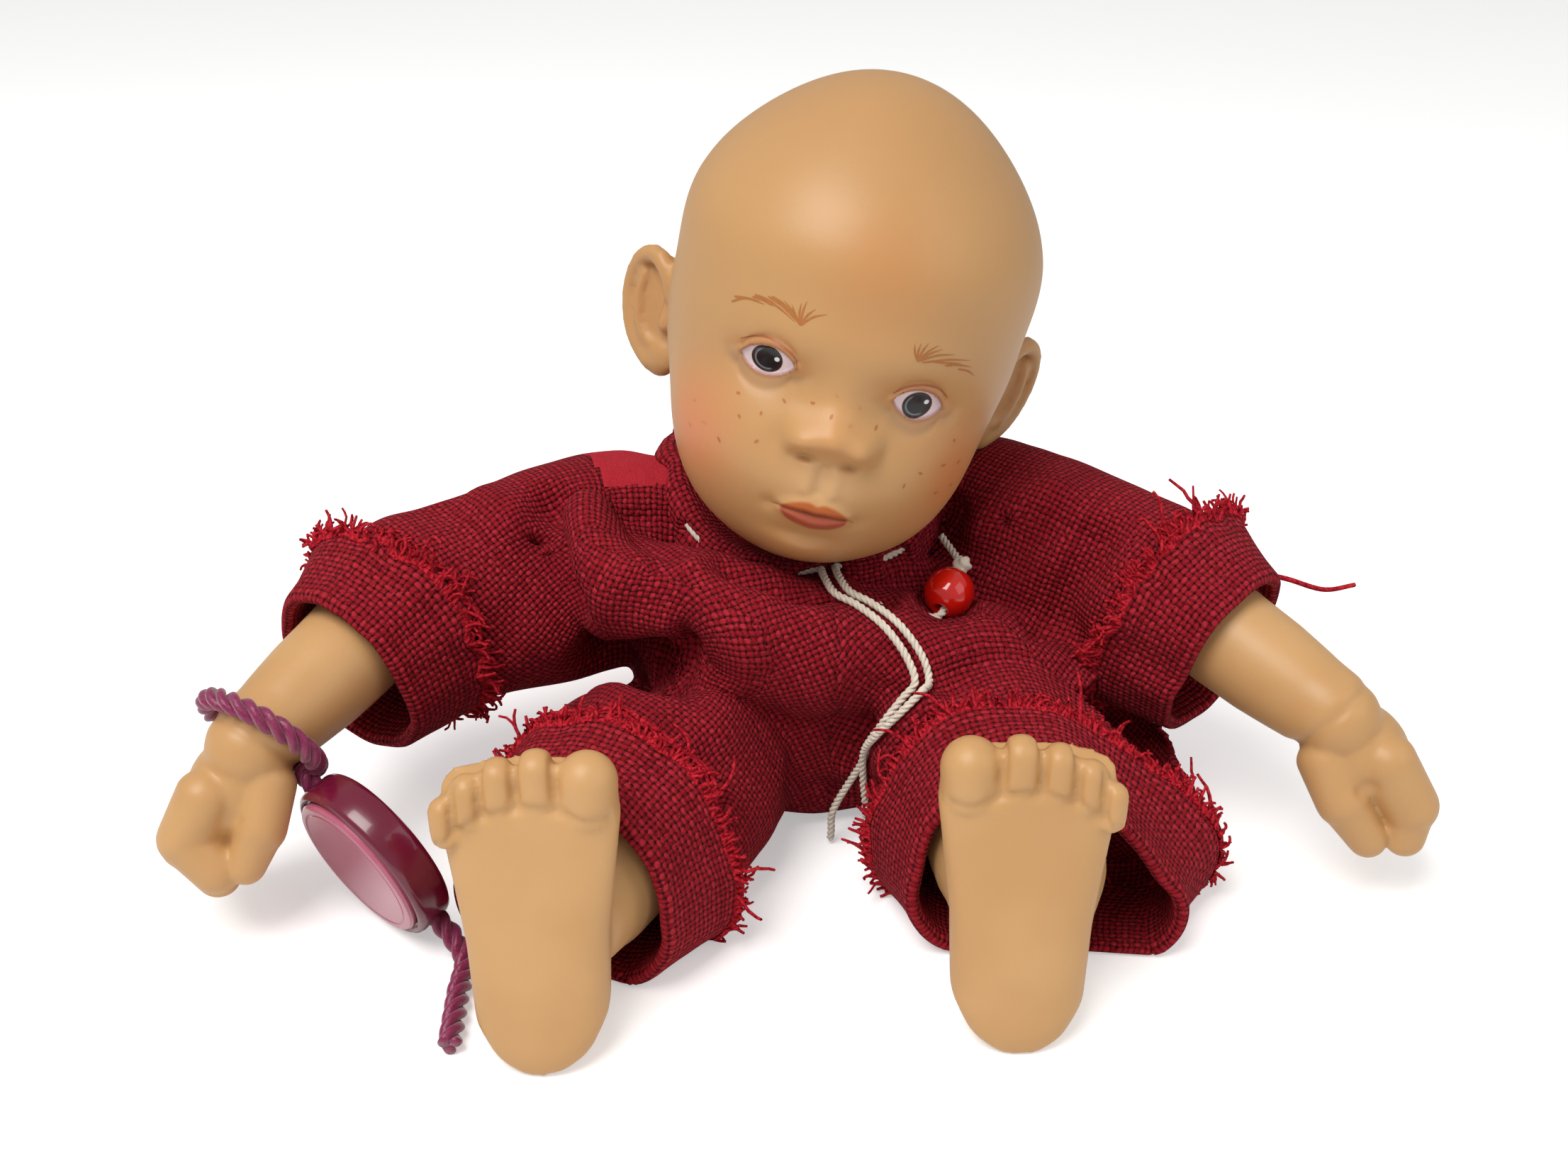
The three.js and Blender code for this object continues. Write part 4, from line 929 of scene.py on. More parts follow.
# romper: coarse crimson cotton, one skin of bodice, sleeves and trouser legs
romperForm = {
    "height": 43, "halfWidth": 33, "halfDepth": 29, "forward": -4.5, "lean": -4.6, "neck": 23, "rise": 8.5,
    "voxel": 0.8, "cloth": 1.0, "pitch": 0.95, "skew": {-1: 0.1, 1: 0.18},
    "arm": {"split": 8, "end": 47}, "leg": {"split": 16, "end": 39.5},
    # cloth is drawn round circles: distance along the limb, then forward (outward on a leg), up and radius of each
    ("arm", -1): [(-12, 0, 0, 13, 0, -4, 12), (4, -4, 2, 15, 2, -4, 13), (17, -3, 1.5, 15.2, 2, -5, 13.5),
                  (30, -1, 0, 15, 1, -5.5, 13.5), (41, 0, -0.5, 14, 0.5, -5.5, 13.3),
                  (47, 0, -0.8, 13.2, 0.5, -5.5, 13), (58, 0, 0, 10.4, 0, -6, 11.2), (63, 0, 0, 10.2, 0, -6, 11)],
    ("arm", 1): [(-12, 0, 0, 12.5, 0, -4, 12), (4, -3, 2, 14, 2, -4, 12.5), (17, -2, 1.5, 14.5, 2, -4.5, 13),
                 (30, -1, 0.5, 14.5, 1, -5, 13), (41, 0, -0.3, 14, 0.5, -5, 13), (47, 0, -0.6, 13.4, 0.5, -5, 13),
                 (58, 0, 0, 10.4, 0, -5.5, 11), (63, 0, 0, 10.2, 0, -5.5, 10.8)],
    ("leg", -1): [(-12, 0, 16.7, 12.5, 2, 14, 12.5, -2, 14, 12.5), (4, 0, 17.5, 13.5, 6, 14, 13, -2, 14, 13),
                  (15, 1, 18.5, 15, 14, 13, 12.5, -3, 14, 13.5), (25, 2, 18, 15.6, 17, 11.5, 11, -4, 13, 12.5),
                  (35, 2.4, 17.4, 15.6, 17, 10, 9.5, -4, 12, 11.5), (43, 2.6, 16.9, 15, 13, 9, 8.5, -3, 11.8, 11.3),
                  (50, 2.6, 16.7, 14.3, 12, 8.5, 8, -2, 11, 10.5), (54, 2.6, 16.7, 14.2, 12, 8.5, 8, -2, 11, 10.5)],
    ("leg", 1): [(-12, 0, 16.7, 12.5, 2, 14, 12.5, -2, 14, 12.5), (4, 0, 17.5, 13, 8, 14, 13, -2, 14, 13),
                 (15, 1, 18.5, 14.8, 21, 13, 12.5, -3, 14, 13.5), (25, 2, 18, 15.2, 25, 11.5, 11, -4, 13, 12.5),
                 (35, 2.4, 17.2, 15.2, 24, 9.8, 9.3, -4, 12, 11.5), (43, 2.6, 16.9, 14.8, 20, 8.5, 8, -3, 11.8, 11.3),
                 (50, 2.6, 16.7, 14.3, 18, 8, 7.5, -2, 11, 10.5), (54, 2.6, 16.7, 14.2, 18, 8, 7.5, -2, 11, 10.5)],
    # a slack roll of cloth lies across the belly, and a bunched fold at the left groin: place, radius
    "roll": [(-43, -7, 46, 8.5), (-37, -15, 43, 9.5), (-25, -24, 40, 10.5), (-10, -28.5, 35, 10.6),
             (4, -28, 32, 10.2), (18, -28.5, 27.5, 10.5), (32, -30, 20.5, 10.5), (40, -35, 13, 10.5)],
    "groin": [(6, -35, 28, 7), (4, -41, 26.5, 7), (1.5, -41, 22, 6.5), (1, -37, 15, 6)],
}


def hullRing(circles, grow, count):  # a band drawn round circles, evenly divided from its top
    t = np.linspace(0, 2 * math.pi, 720, endpoint=False)
    ways = np.column_stack([np.sin(t), np.cos(t)])
    reach = (ways @ circles[:, :2].T + circles[:, 2]).max(1) + grow
    slope = (np.roll(reach, -1) - np.roll(reach, 1)) / (t[2] - t[0])
    flat = ways * reach[:, None] + np.column_stack([np.cos(t), -np.sin(t)]) * slope[:, None]
    loop = np.vstack([flat, flat[:1]])
    run = np.concatenate([[0], np.cumsum(np.linalg.norm(np.diff(loop, axis=0), axis=1))])
    marks = np.linspace(0, run[-1], count, endpoint=False)
    return np.column_stack([np.interp(marks, run, loop[:, 0]), np.interp(marks, run, loop[:, 1])])


def armPlace(side, d):  # along the upper arm, then along the forearm
    pose = armForm[side]
    elbow = np.array(pose["shoulder"]) + unit(pose["aim"]) * armForm["elbow"]
    if d <= armForm["elbow"]:
        return np.array(pose["shoulder"]) + unit(pose["aim"]) * d
    return elbow + unit(pose["fore"]) * (d - armForm["elbow"])


def limbFrame(side, kind, d):  # place, along, forward (outward on a leg) and up
    if kind == "leg":
        pose = legForm[side]
        level = unit([pose["aim"][0], pose["aim"][1], 0])
        at = (np.array(pose["hip"]) + level * d) * [1, 1, 0]
        return at, level, np.cross(level, [0, 0, 1]) * -side, np.array([0, 0, 1.0])
    way = unit(armPlace(side, d + 3) - armPlace(side, d - 3))
    across = unit(np.cross([0, 0, 1], way))
    return armPlace(side, d), way, across * -side, np.cross(way, across)


def limbRing(side, kind, d, grow, count):  # the cloth round a limb at one distance, and its outward ways
    rows = curveThrough(romperForm[kind, side], 0.5)
    circles = np.array([np.interp(d, rows[:, 0], rows[:, k]) for k in range(1, rows.shape[1])]).reshape(-1, 3)
    flat = hullRing(circles, grow, count)
    at, along, forward, up = limbFrame(side, kind, d)
    slip = np.zeros(count)
    if kind == "leg":  # the loose outer side lies further down the leg
        slip = romperForm["skew"][side] * np.clip(flat[:, 0] - 6, 0, None) * ease(d, 24, 40)
    ring = at + flat[:, :1] * forward + flat[:, 1:] * up + slip[:, None] * along
    turn = np.roll(flat, -1, 0) - np.roll(flat, 1, 0)
    turn /= np.linalg.norm(turn, axis=1)[:, None]
    return ring, -turn[:, 1:] * forward + turn[:, :1] * up, along


def limbTube(side, kind):
    rings = [limbRing(side, kind, d, 0, 72)[0] for d in np.arange(-12, romperForm[kind]["end"] + 2, 1.0)]
    for ring in rings:
        ring[:, 2] = np.maximum(ring[:, 2], 0.3)
    return skin("tube", rings)


def bodiceRings(count=120):
    f = romperForm
    rings = []
    for s in np.linspace(0, 1, 44):
        girth = np.interp(s, [0, 0.04, 0.1, 0.2, 0.35, 0.65, 0.85, 1], [0.84, 0.91, 0.955, 0.985, 1, 1, 0.97, 0.92])
        draw = float(ease(s, 0.72, 1))
        across = f["halfWidth"] * girth * (1 - draw) + f["neck"] * draw
        deep = f["halfDepth"] * girth * (1 - draw) + f["neck"] * draw
        forward = f["forward"] * math.sin(math.pi * s) ** 0.6
        centre = np.array([f["lean"] * s, forward * (1 - draw * 0.6) + 5 * draw * 0.6, 0.3 + (f["height"] - 0.3) * s])
        t = np.linspace(0, 2 * math.pi, count, endpoint=False)
        c, d = np.cos(t), np.sin(t)
        out = np.column_stack([np.sign(c) * np.abs(c) ** 0.91 * across, np.sign(d) * np.abs(d) ** 0.91 * deep, c * 0])
        out[:, 2] += f["rise"] * draw * ease(out[:, 1] / deep, -1, 0.2)
        rings.append(centre + out)
    return rings


def limbRun(p, side, kind):  # distance along a limb, and from its line
    if kind == "leg":
        at, level, outward, _ = limbFrame(side, kind, 0)
        run, wide = (p - at) @ level, (p - at) @ outward
        slip = romperForm["skew"][side] * np.clip(wide - 6, 0, None) * ease(run, 24, 40)
        return run - slip, wide
    marks = np.linspace(-12, 70, 83)
    line = np.array([armPlace(side, d) for d in marks])
    best, run = np.full(len(p), 1e9), np.zeros(len(p))
    for a, b, m in zip(line[:-1], line[1:], marks):
        way = b - a
        t = (p - a) @ way / (way @ way)
        d = np.linalg.norm(p - a - np.clip(t, 0, 1)[:, None] * way, axis=1)
        run = np.where(d < best, m + t, run)
        best = np.minimum(best, d)
    return run, best


def rodsAlong(marks):
    return [rod(a[:3], b[:3], a[3], b[3]) for a, b in zip(marks, marks[1:])]


romperSkin = moulded("romperSkin", [skin("bodice", bodiceRings())]
                     + [limbTube(s, kind) for s in (-1, 1) for kind in ("arm", "leg")]
                     + rodsAlong(romperForm["roll"]) + rodsAlong(romperForm["groin"]), romperForm["voxel"], 6)

# folds are laid along lines seen from the camera and pressed into the skin
folds = {
    "lines": [  # picture points of a 2000 wide view, width, push (out is positive)
        ([(716, 615), (700, 650), (700, 700), (718, 750), (752, 790)], 3.2, -6.0),
        ([(740, 800), (800, 832), (850, 854), (905, 856)], 4.8, -7.0),
        ([(738, 632), (748, 690), (765, 742), (810, 772)], 5.0, 2.6),
        ([(805, 642), (832, 682), (862, 704), (888, 714)], 3.6, -3.4),
        ([(775, 742), (850, 718), (930, 738), (1010, 764)], 4.2, 2.4),
        ([(890, 714), (960, 735), (1040, 748), (1110, 752), (1170, 768)], 3.2, -5.0),
        ([(965, 775), (935, 840), (908, 910), (900, 960)], 6.0, 2.2),
        ([(845, 815), (885, 835), (890, 870)], 5.0, -4.0),
        ([(680, 905), (750, 890), (820, 884), (880, 900)], 5.0, 1.8),
        ([(1392, 655), (1394, 700), (1360, 752), (1290, 790)], 4.0, -3.6),
        ([(1232, 632), (1205, 668), (1186, 705)], 3.0, -3.2),
        ([(1225, 690), (1290, 650), (1380, 618)], 5.0, 1.8),
        ([(1232, 725), (1300, 690), (1385, 652)], 3.6, -1.4),
        ([(1290, 792), (1360, 802), (1455, 858)], 3.2, -3.2),
        ([(1000, 985), (1070, 1015), (1140, 1020)], 4.0, -2.2),
        ([(1130, 810), (1250, 825), (1370, 855), (1460, 905)], 9.0, 1.6),
        ([(560, 640), (610, 690), (660, 720), (700, 728)], 4.5, -1.6),
        ([(600, 625), (660, 650), (705, 655)], 4.0, 1.3),
        ([(655, 800), (720, 812), (780, 820)], 5.0, 1.4),
    ],
    "wrinkle": 0.45, "wrinkleSize": 9.0, "underCord": 0.85,
}
cameraTurn = np.array(camera.rotation_euler.to_matrix())


def seenRay(u, v):  # ray through a picture point of a 2000 wide view
    flat = np.array([(u - 1000) / 2000 * 36 / view["lens"], (750 - v) / 2000 * 36 / view["lens"], -1.0])
    return unit(cameraTurn @ flat)


def treeOf(piece):
    return BVHTree.FromPolygons(pointsOf(piece).tolist(), [tuple(f.vertices) for f in piece.data.polygons])


def nearestOf(p, spots):  # which spot is closest to each point, and how far it is
    best, which = np.full(len(p), 1e9), np.zeros(len(p), int)
    for k, spot in enumerate(spots):
        d = np.linalg.norm(p - spot, axis=1)
        which = np.where(d < best, k, which)
        best = np.minimum(best, d)
    return best, which


def pressFolds(piece):
    tree = treeOf(piece)
    p, n = pointsOf(piece), normalsOf(piece)
    push = np.zeros(len(p))
    for marks, width, amount in folds["lines"]:
        hits = [tree.ray_cast(Vector(view["at"]), Vector(seenRay(u, v)))[0] for u, v in marks]
        spots = [np.array(hit) for hit in hits if hit is not None]
        if len(spots) < 2:
            continue
        line = curveThrough(spots, 2.0)
        fade = ease(np.minimum(np.linspace(0, 1, len(line)), np.linspace(1, 0, len(line))), -0.02, 0.16)
        d, which = nearestOf(p, line)
        push += amount * fade[which] * np.exp(-(d / width) ** 2)
    small = waves(p, folds["wrinkleSize"], 3) + 0.5 * waves(p, folds["wrinkleSize"] * 0.5, 7)
    p = p + n * (push + folds["wrinkle"] * small)[:, None]
    p[:, 2] = np.maximum(p[:, 2], 0.35)
    setPoints(piece, p)


def carryCord(piece, path, width):  # cloth is drawn up, or pressed down, to lie just under a cord
    tree = treeOf(piece)
    p, n = pointsOf(piece), normalsOf(piece)
    spots, gaps = [], []
    for spot in path:
        hit, normal, _, _ = tree.find_nearest(Vector(spot))
        spots.append(np.array(hit))
        gaps.append((np.array(spot) - np.array(hit)) @ np.array(normal) - folds["underCord"])
    d, which = nearestOf(p, spots)
    p += n * (np.clip(np.array(gaps)[which], -4, 4) * np.exp(-(d / width) ** 2))[:, None]
    p[:, 2] = np.maximum(p[:, 2], 0.35)
    setPoints(piece, p)


def clearOf(piece, nodes, gap):  # cloth stays outside what it covers
    p = pointsOf(piece)
    for node in nodes:
        solid = bpy.data.objects[node]
        inside = pointsOf(solid) / mm
        tree = BVHTree.FromPolygons(inside.tolist(), [tuple(f.vertices) for f in solid.data.polygons])
        near = np.all((p > inside.min(0) - gap) & (p < inside.max(0) + gap), axis=1)
        for i in np.flatnonzero(near):
            hit, normal, _, _ = tree.find_nearest(Vector(p[i]))
            if (Vector(p[i]) - hit).dot(normal) < gap:
                p[i] = hit + normal * gap
    p[:, 2] = np.maximum(p[:, 2], 0.35)
    setPoints(piece, p)


coveredNodes = ["torso_filling", "torso_cloth"] + [word + node for word in ("right", "left")
                                                   for node in ("_thigh_cloth", "_upper_arm_cloth")]
pressFolds(romperSkin)
relax(romperSkin, 3)
clearOf(romperSkin, coveredNodes, 1.9)
relax(romperSkin, 1)
beadAt = np.array(stringCord["beadLoop"][2])  # the bead sits at the loop's third point
fromBead = pointsOf(romperSkin) - beadAt
beadGap = np.linalg.norm(fromBead, axis=1)[:, None]
setPoints(romperSkin, beadAt + fromBead * np.maximum(1, 5.2 / np.maximum(beadGap, 0.1)))  # room for the bead
tailPaths = [np.array([s for s in curveThrough(stringCord[k], 1.5) if s[2] > 12]) for k in ("tailLong", "tailShort")]
for width in (5.0, 4.0, 3.0):
    for path in tailPaths:
        carryCord(romperSkin, path, width)
    relax(romperSkin, 1)
for _ in range(3):  # a vertex that stands far off its neighbours comes back among them
    p = pointsOf(romperSkin)
    ends = np.zeros(len(romperSkin.data.edges) * 2, int)
    romperSkin.data.edges.foreach_get("vertices", ends)
    a, b = ends.reshape(-1, 2).T
    count = np.bincount(a, minlength=len(p)) + np.bincount(b, minlength=len(p))
    mean = np.column_stack([np.bincount(a, p[b, k], len(p)) + np.bincount(b, p[a, k], len(p)) for k in range(3)])
    mean /= np.maximum(count, 1)[:, None]
    setPoints(romperSkin, np.where((np.linalg.norm(p - mean, axis=1) > 0.55)[:, None], mean, p))
p = pointsOf(romperSkin)  # the cloth sinks where it would hide the bead
toEye = unit(np.array(view["at"]) - beadAt)
before = (p - beadAt) @ toEye
off = (p - beadAt) - before[:, None] * toEye
wide = np.linalg.norm(off, axis=1)
hides = (before > 0) & (before < 18) & (wide < 10)
least = min(wide[hides].min(), 4.4)
moved = 10 - (10 - wide) * (10 - 4.6) / (10 - least)
p += (np.where(hides, moved - wide, 0) * ease(before, 0, 4) / np.maximum(wide, 0.1))[:, None] * off
setPoints(romperSkin, p)
relax(romperSkin, 1)
clearOf(romperSkin, coveredNodes, 2.2)
relax(romperSkin, 2)
print("romper skin folded,", len(romperSkin.data.polygons), "faces")


def threadHeight(tree, count, sign, other):  # height of one thread system of a plain weave
    bow = sum2(tree, "MULTIPLY_ADD", sum2(tree, "FRACT", count), 2.0, -1.0)
    fall = sum2(tree, "POWER", sum2(tree, "ABSOLUTE", bow), 2.6)
    section = sum2(tree, "SUBTRACT", 1.0, sum2(tree, "MULTIPLY", fall, 1.25))
    passed = sum2(tree, "ADD", sum2(tree, "SUBTRACT", other, 0.5), sum2(tree, "FLOOR", count))
    turn = sum2(tree, "MULTIPLY", passed, math.pi)
    over = sum2(tree, "MULTIPLY", sum2(tree, "COSINE", turn), sign * 0.48)
    return sum2(tree, "MULTIPLY_ADD", section, 0.62, over)


def weaveFinish(name):
    made, tree, shader = finishOf(name, roughness=0.92)
    uv = add(tree, "ShaderNodeUVMap", uv_map="threads").outputs[0]
    place = objectPlace(tree)
    drift = add(tree, "ShaderNodeTexNoise", {"Vector": place, "Scale": 380, "Detail": 2.0}).outputs["Color"]
    loose = add(tree, "ShaderNodeVectorMath", {0: drift, 1: (-0.5, -0.5, -0.5)}, operation="ADD").outputs[0]
    loose = add(tree, "ShaderNodeVectorMath", {0: loose, "Scale": 0.75}, operation="SCALE").outputs[0]
    uv = add(tree, "ShaderNodeVectorMath", {0: uv, 1: loose}, operation="ADD").outputs[0]
    split = add(tree, "ShaderNodeSeparateXYZ", {0: uv})
    across, along = split.outputs[0], split.outputs[1]
    warp, weft = threadHeight(tree, across, 1, along), threadHeight(tree, along, -1, across)
    height = sum2(tree, "MAXIMUM", warp, weft)
    upper = ramp(tree, sum2(tree, "SUBTRACT", warp, weft), -0.1, 0.1)
    whichWarp, whichWeft = (add(tree, "ShaderNodeTexWhiteNoise", {"W": sum2(tree, "FLOOR", run)},
                                noise_dimensions="1D").outputs[0] for run in (across, along))
    warpTone = mixed(tree, whichWarp, tint(132, 12, 26), tint(160, 26, 40))
    weftTone = mixed(tree, whichWeft, tint(146, 18, 32), tint(180, 40, 52))
    tone = mixed(tree, upper, weftTone, warpTone)
    fuzz = specks(tree, place, 2600, 4)
    # painted shade: the low ground between the threads is darkened almost to black
    tone = mixed(tree, ramp(tree, height, 0.92, 0.2), tone, tint(46, 2, 8))
    tone = mixed(tree, ramp(tree, fuzz, 0.52, 0.82), tone, tint(192, 62, 72))
    colourBy(tree, shader, tone)
    shader.inputs["Sheen Weight"].default_value = 0.16
    shader.inputs["Sheen Roughness"].default_value = 0.6
    shader.inputs["Sheen Tint"].default_value = tint(206, 80, 92)
    shader.inputs["Specular IOR Level"].default_value = 0.12
    relief = sum2(tree, "MULTIPLY_ADD", fuzz, 0.5, height)
    lift(tree, shader, relief, 0.00055, 1.0)
    return made


def threadFinish():
    made, tree, shader = finishOf("crimsonThread", roughness=0.9)
    fuzz = specks(tree, objectPlace(tree), 1800, 3)
    colourBy(tree, shader, mixed(tree, ramp(tree, fuzz, 0.3, 0.7), tint(134, 10, 28), tint(206, 44, 56)))
    shader.inputs["Specular IOR Level"].default_value = 0.1
    lift(tree, shader, specks(tree, objectPlace(tree), 6000, 2), 0.0001, 0.6)
    return made


weaveLook, threadLook = weaveFinish("crimsonWeave"), threadFinish()


def faceMeans(piece, values):
    corner = np.zeros(len(piece.data.loops), int)
    piece.data.loops.foreach_get("vertex_index", corner)
    owner = np.repeat(np.arange(len(piece.data.polygons)), [f.loop_total for f in piece.data.polygons])
    return np.bincount(owner, values[corner]) / np.bincount(owner), owner, corner


def layWeave(piece, panel, rightward, upward):  # each panel is unrolled flat and turned so that the threads run true
    piece.data.uv_layers.new(name="threads")
    sides = {}
    for f in piece.data.polygons:
        for key in f.edge_keys:
            sides.setdefault(key, []).append(panel[f.index])
    for edge in piece.data.edges:
        met = sides.get(tuple(sorted(edge.vertices)), [])
        edge.use_seam = len(met) == 2 and met[0] != met[1]
    takeHold(piece)
    bpy.ops.object.mode_set(mode="EDIT")
    bpy.ops.mesh.select_all(action="SELECT")
    bpy.ops.uv.unwrap(method="MINIMUM_STRETCH", margin=0.01, iterations=12)
    bpy.ops.object.mode_set(mode="OBJECT")
    layer = piece.data.uv_layers["threads"]
    uv = np.zeros(len(piece.data.loops) * 2)
    layer.data.foreach_get("uv", uv)
    uv = uv.reshape(-1, 2)
    _, owner, corner = faceMeans(piece, np.zeros(len(piece.data.vertices)))
    spans, areas = [], np.array([f.area for f in piece.data.polygons])
    ends = np.roll(np.arange(len(owner)), -1)
    ends[np.flatnonzero(np.diff(owner, append=-1))] = np.flatnonzero(np.diff(owner, prepend=-1))
    flatAreas = np.abs(np.bincount(owner, uv[:, 0] * uv[ends, 1] - uv[ends, 0] * uv[:, 1])) / 2
    for which in np.unique(panel):
        own = panel[owner] == which
        true = math.sqrt(areas[panel == which].sum() / max(flatAreas[panel == which].sum(), 1e-12))
        q = (uv[own] - uv[own].mean(0)) * true
        fit = np.linalg.lstsq(np.column_stack([q, np.ones(len(q))]),
                              np.column_stack([rightward[corner[own]], upward[corner[own]]]), rcond=None)[0][:2]
        turn = math.atan2(fit[1, 0] - fit[0, 1], fit[0, 0] + fit[1, 1])
        if np.linalg.det(fit) < 0:  # unrolled from the other face
            q[:, 0] *= -1
            fit[0] *= -1
            turn = math.atan2(fit[1, 0] - fit[0, 1], fit[0, 0] + fit[1, 1])
        c, s = math.cos(turn), math.sin(turn)
        q = np.column_stack([q[:, 0] * c + q[:, 1] * s, -q[:, 0] * s + q[:, 1] * c])
        spans.append(np.ptp(np.percentile(q, (0.5, 99.5), axis=0), axis=0))
        uv[own] = q / romperForm["pitch"] + which * 311
    layer.data.foreach_set("uv", uv.astype(np.float32).ravel())
    spans = np.array(spans)
    return float(spans[:, 0].sum()), float(spans[:, 1].max())


def declareCloth(piece, flat):  # flat is the box of the unrolled panels
    area = sum(f.area for f in piece.data.polygons) / 2
    width, length = max(flat[0] * mm, 0.012), max(flat[1] * mm, 0.012)
    if area > width * length:
        length = area / width
    spare = min(1.0, math.sqrt(area / (0.4 * width * length)))  # at most 2.5 times the cloth
    width, length = width * spare, length * spare


def limbAngle(p, side, kind, run):  # round a limb, from its underside
    marks = np.linspace(-14, 72, 87)
    frames = [limbFrame(side, kind, d) for d in marks]
    out = p - np.column_stack([np.interp(run, marks, [f[0][k] for f in frames]) for k in range(3)])
    if kind == "leg":
        out[:, 2] -= 14
    forward = np.column_stack([np.interp(run, marks, [f[2][k] for f in frames]) for k in range(3)])
    up = np.column_stack([np.interp(run, marks, [f[3][k] for f in frames]) for k in range(3)])
    return np.arctan2((out * forward).sum(1), (out * up).sum(1))


p = pointsOf(romperSkin)
runs = {(kind, side): limbRun(p, side, kind) for kind in ("arm", "leg") for side in (-1, 1)}
corners = [tuple(f.vertices) for f in romperSkin.data.polygons]
firstCorner = np.array([c[0] for c in corners])
centres = np.array([f.center for f in romperSkin.data.polygons])
owners = np.full(len(corners), "body", dtype=object)
dropped = np.zeros(len(corners), bool)
for (kind, side), (run, gap) in runs.items():
    r, g = run[firstCorner], gap[firstCorner]
    here = (r > romperForm[kind]["split"]) & (owners == "body")
    if kind == "arm":
        here &= (g < 24) & ((centres[:, 0] + 4.6) * side > 18)
    else:
        here &= (g > -22) & (g < 46) & (centres[:, 1] < -18)
    owners[here] = f"{kind}{side}"
    dropped |= here & (r > romperForm[kind]["end"])
neckX, neckY = -4.6, 2.5  # the neck opening: its faces go, except those that face outward
neckPlace = np.hypot(centres[:, 0] - neckX, centres[:, 1] - neckY)
facing = np.array([f.normal for f in romperSkin.data.polygons])
outward = facing[:, 0] * (centres[:, 0] - neckX) + facing[:, 1] * (centres[:, 1] - neckY)
outward /= np.maximum(neckPlace, 0.1)
dropped |= (neckPlace < romperForm["neck"] - 1.6) & (centres[:, 2] > 38) & (owners == "body") & (outward < 0.75)


def cutPiece(name, keep):
    used = sorted({i for f, k in zip(corners, keep) if k for i in f})
    where = {old: new for new, old in enumerate(used)}
    return madeOf(name, p[used], [tuple(where[i] for i in f) for f, k in zip(corners, keep) if k]), np.array(used)


clothPieces, clothFlats = {}, {}
for key, name in {"body": "romperBody", "arm-1": "rightSleeve", "arm1": "leftSleeve", "leg-1": "rightTrouser",
                  "leg1": "leftTrouser"}.items():
    piece, used = cutPiece(name, (owners == key) & ~dropped)
    q = p[used]
    if key == "body":  # a front and a back panel, and the seat
        middle = np.array([f.center for f in piece.data.polygons])
        facing = np.array([f.normal for f in piece.data.polygons])
        panel = np.where(middle[:, 1] < 0, 0, 1)
        panel[(facing[:, 2] < -0.6) & (middle[:, 2] < 3)] = 2
        flat = layWeave(piece, panel, q[:, 0], q[:, 2])
    else:
        kind, side = key[:3], int(key[3:])
        run = runs[kind, side][0][used]
        angle = limbAngle(q, side, kind, run)
        panel = (faceMeans(piece, (np.abs(angle) > 2.4) * np.sign(angle))[0] > 0).astype(int)
        flat = layWeave(piece, panel, angle * 15, run)
    modify(piece, "SOLIDIFY", thickness=romperForm["cloth"], offset=-1)
    dress(inMetres(piece), weaveLook)
    clothPieces[key], clothFlats[key] = piece, flat
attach(clothPieces["body"], "torso")
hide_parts("romper_body")
declareCloth(clothPieces["body"], clothFlats["body"])
for side, word in ((-1, "right"), (1, "left")):
    for kind, node, upper, near, far in (("arm", "_sleeve", "_upper_arm", 8, 24),
                                         ("leg", "_trouser_leg", "_thigh", 16, 30)):
        piece = clothPieces[f"{kind}{side}"]
        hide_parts(word + node)
        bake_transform(piece)
        declareCloth(piece, clothFlats[f"{kind}{side}"])
letGo()
bpy.data.objects.remove(romperSkin)
print("romper cut and laid")

# turned-up cuffs: tight at the fold, flaring to a raw edge with threads pulled out of it
cuffForm = {
    "arm": {"raw": 45, "fold": 58, "threads": 420, "reach": (2.0, 5.0), "count": 150},
    "leg": {"raw": 35.5, "fold": 50, "threads": 480, "reach": (1.6, 4.0), "count": 200},
    # from the raw edge over the outside to the fold, then back inside: share of the length, distance off the sleeve
    "profile": [(0, 3.1), (0.1, 2.6), (0.35, 2.1), (0.65, 1.7), (0.88, 1.55), (0.96, 1.45), (1.0, 0.95), (0.985, 0.4),
                (0.93, 0.1), (0.7, -0.3), (0.4, -0.8), (0.0, -1.1), (-0.35, -1.3)],
    "wobble": 0.7, "cloth": 0.9, "thread": 0.36,
    # long loose yarns: cuff, then the points they hang through
    "strays": {("arm", 1): [[(58.6, -33.6, 44), (61.6, -34, 42.6), (67.4, -35, 41), (74.3, -36, 38.6),
                             (79.7, -36, 38.8)],
                            [(59.4, -35.6, 43), (61.4, -36, 41), (64.9, -37, 36.3), (67.9, -38, 31.8)]]},
}


def cuffRing(side, kind, d, grow, count, frayed=0.0):
    ring, out, along = limbRing(side, kind, d, grow, count)
    t = np.linspace(0, 2 * math.pi, count, endpoint=False)
    around = np.column_stack([np.cos(t) * 4, np.sin(t) * 4, t * 0 + d * 0.12])
    ring = ring + out * (cuffForm["wobble"] * waves(around, 1.3, 5 + side))[:, None]
    ring += along * (frayed * 1.3 * waves(around, 0.8, 21 + side))[:, None]
    ring[:, 2] = np.maximum(ring[:, 2], 0.6 + 0.35 * max(0, grow))
    return ring, out, along


def yarn(points, quads, line, radius, taper=0.6):  # a thin four-sided thread along a line
    _, u, v = carriedFrames(line)
    first, rows = len(points), len(line)
    for c, a, b, share in zip(line, u, v, np.linspace(1, taper, rows)):
        points += [c + (a * x + b * y) * radius * share for x, y in ((1, 0), (0, 1), (-1, 0), (0, -1))]
    quads += [(first + r * 4 + s, first + r * 4 + (s + 1) % 4, first + r * 4 + 4 + (s + 1) % 4, first + r * 4 + 4 + s)
              for r in range(rows - 1) for s in range(4)]


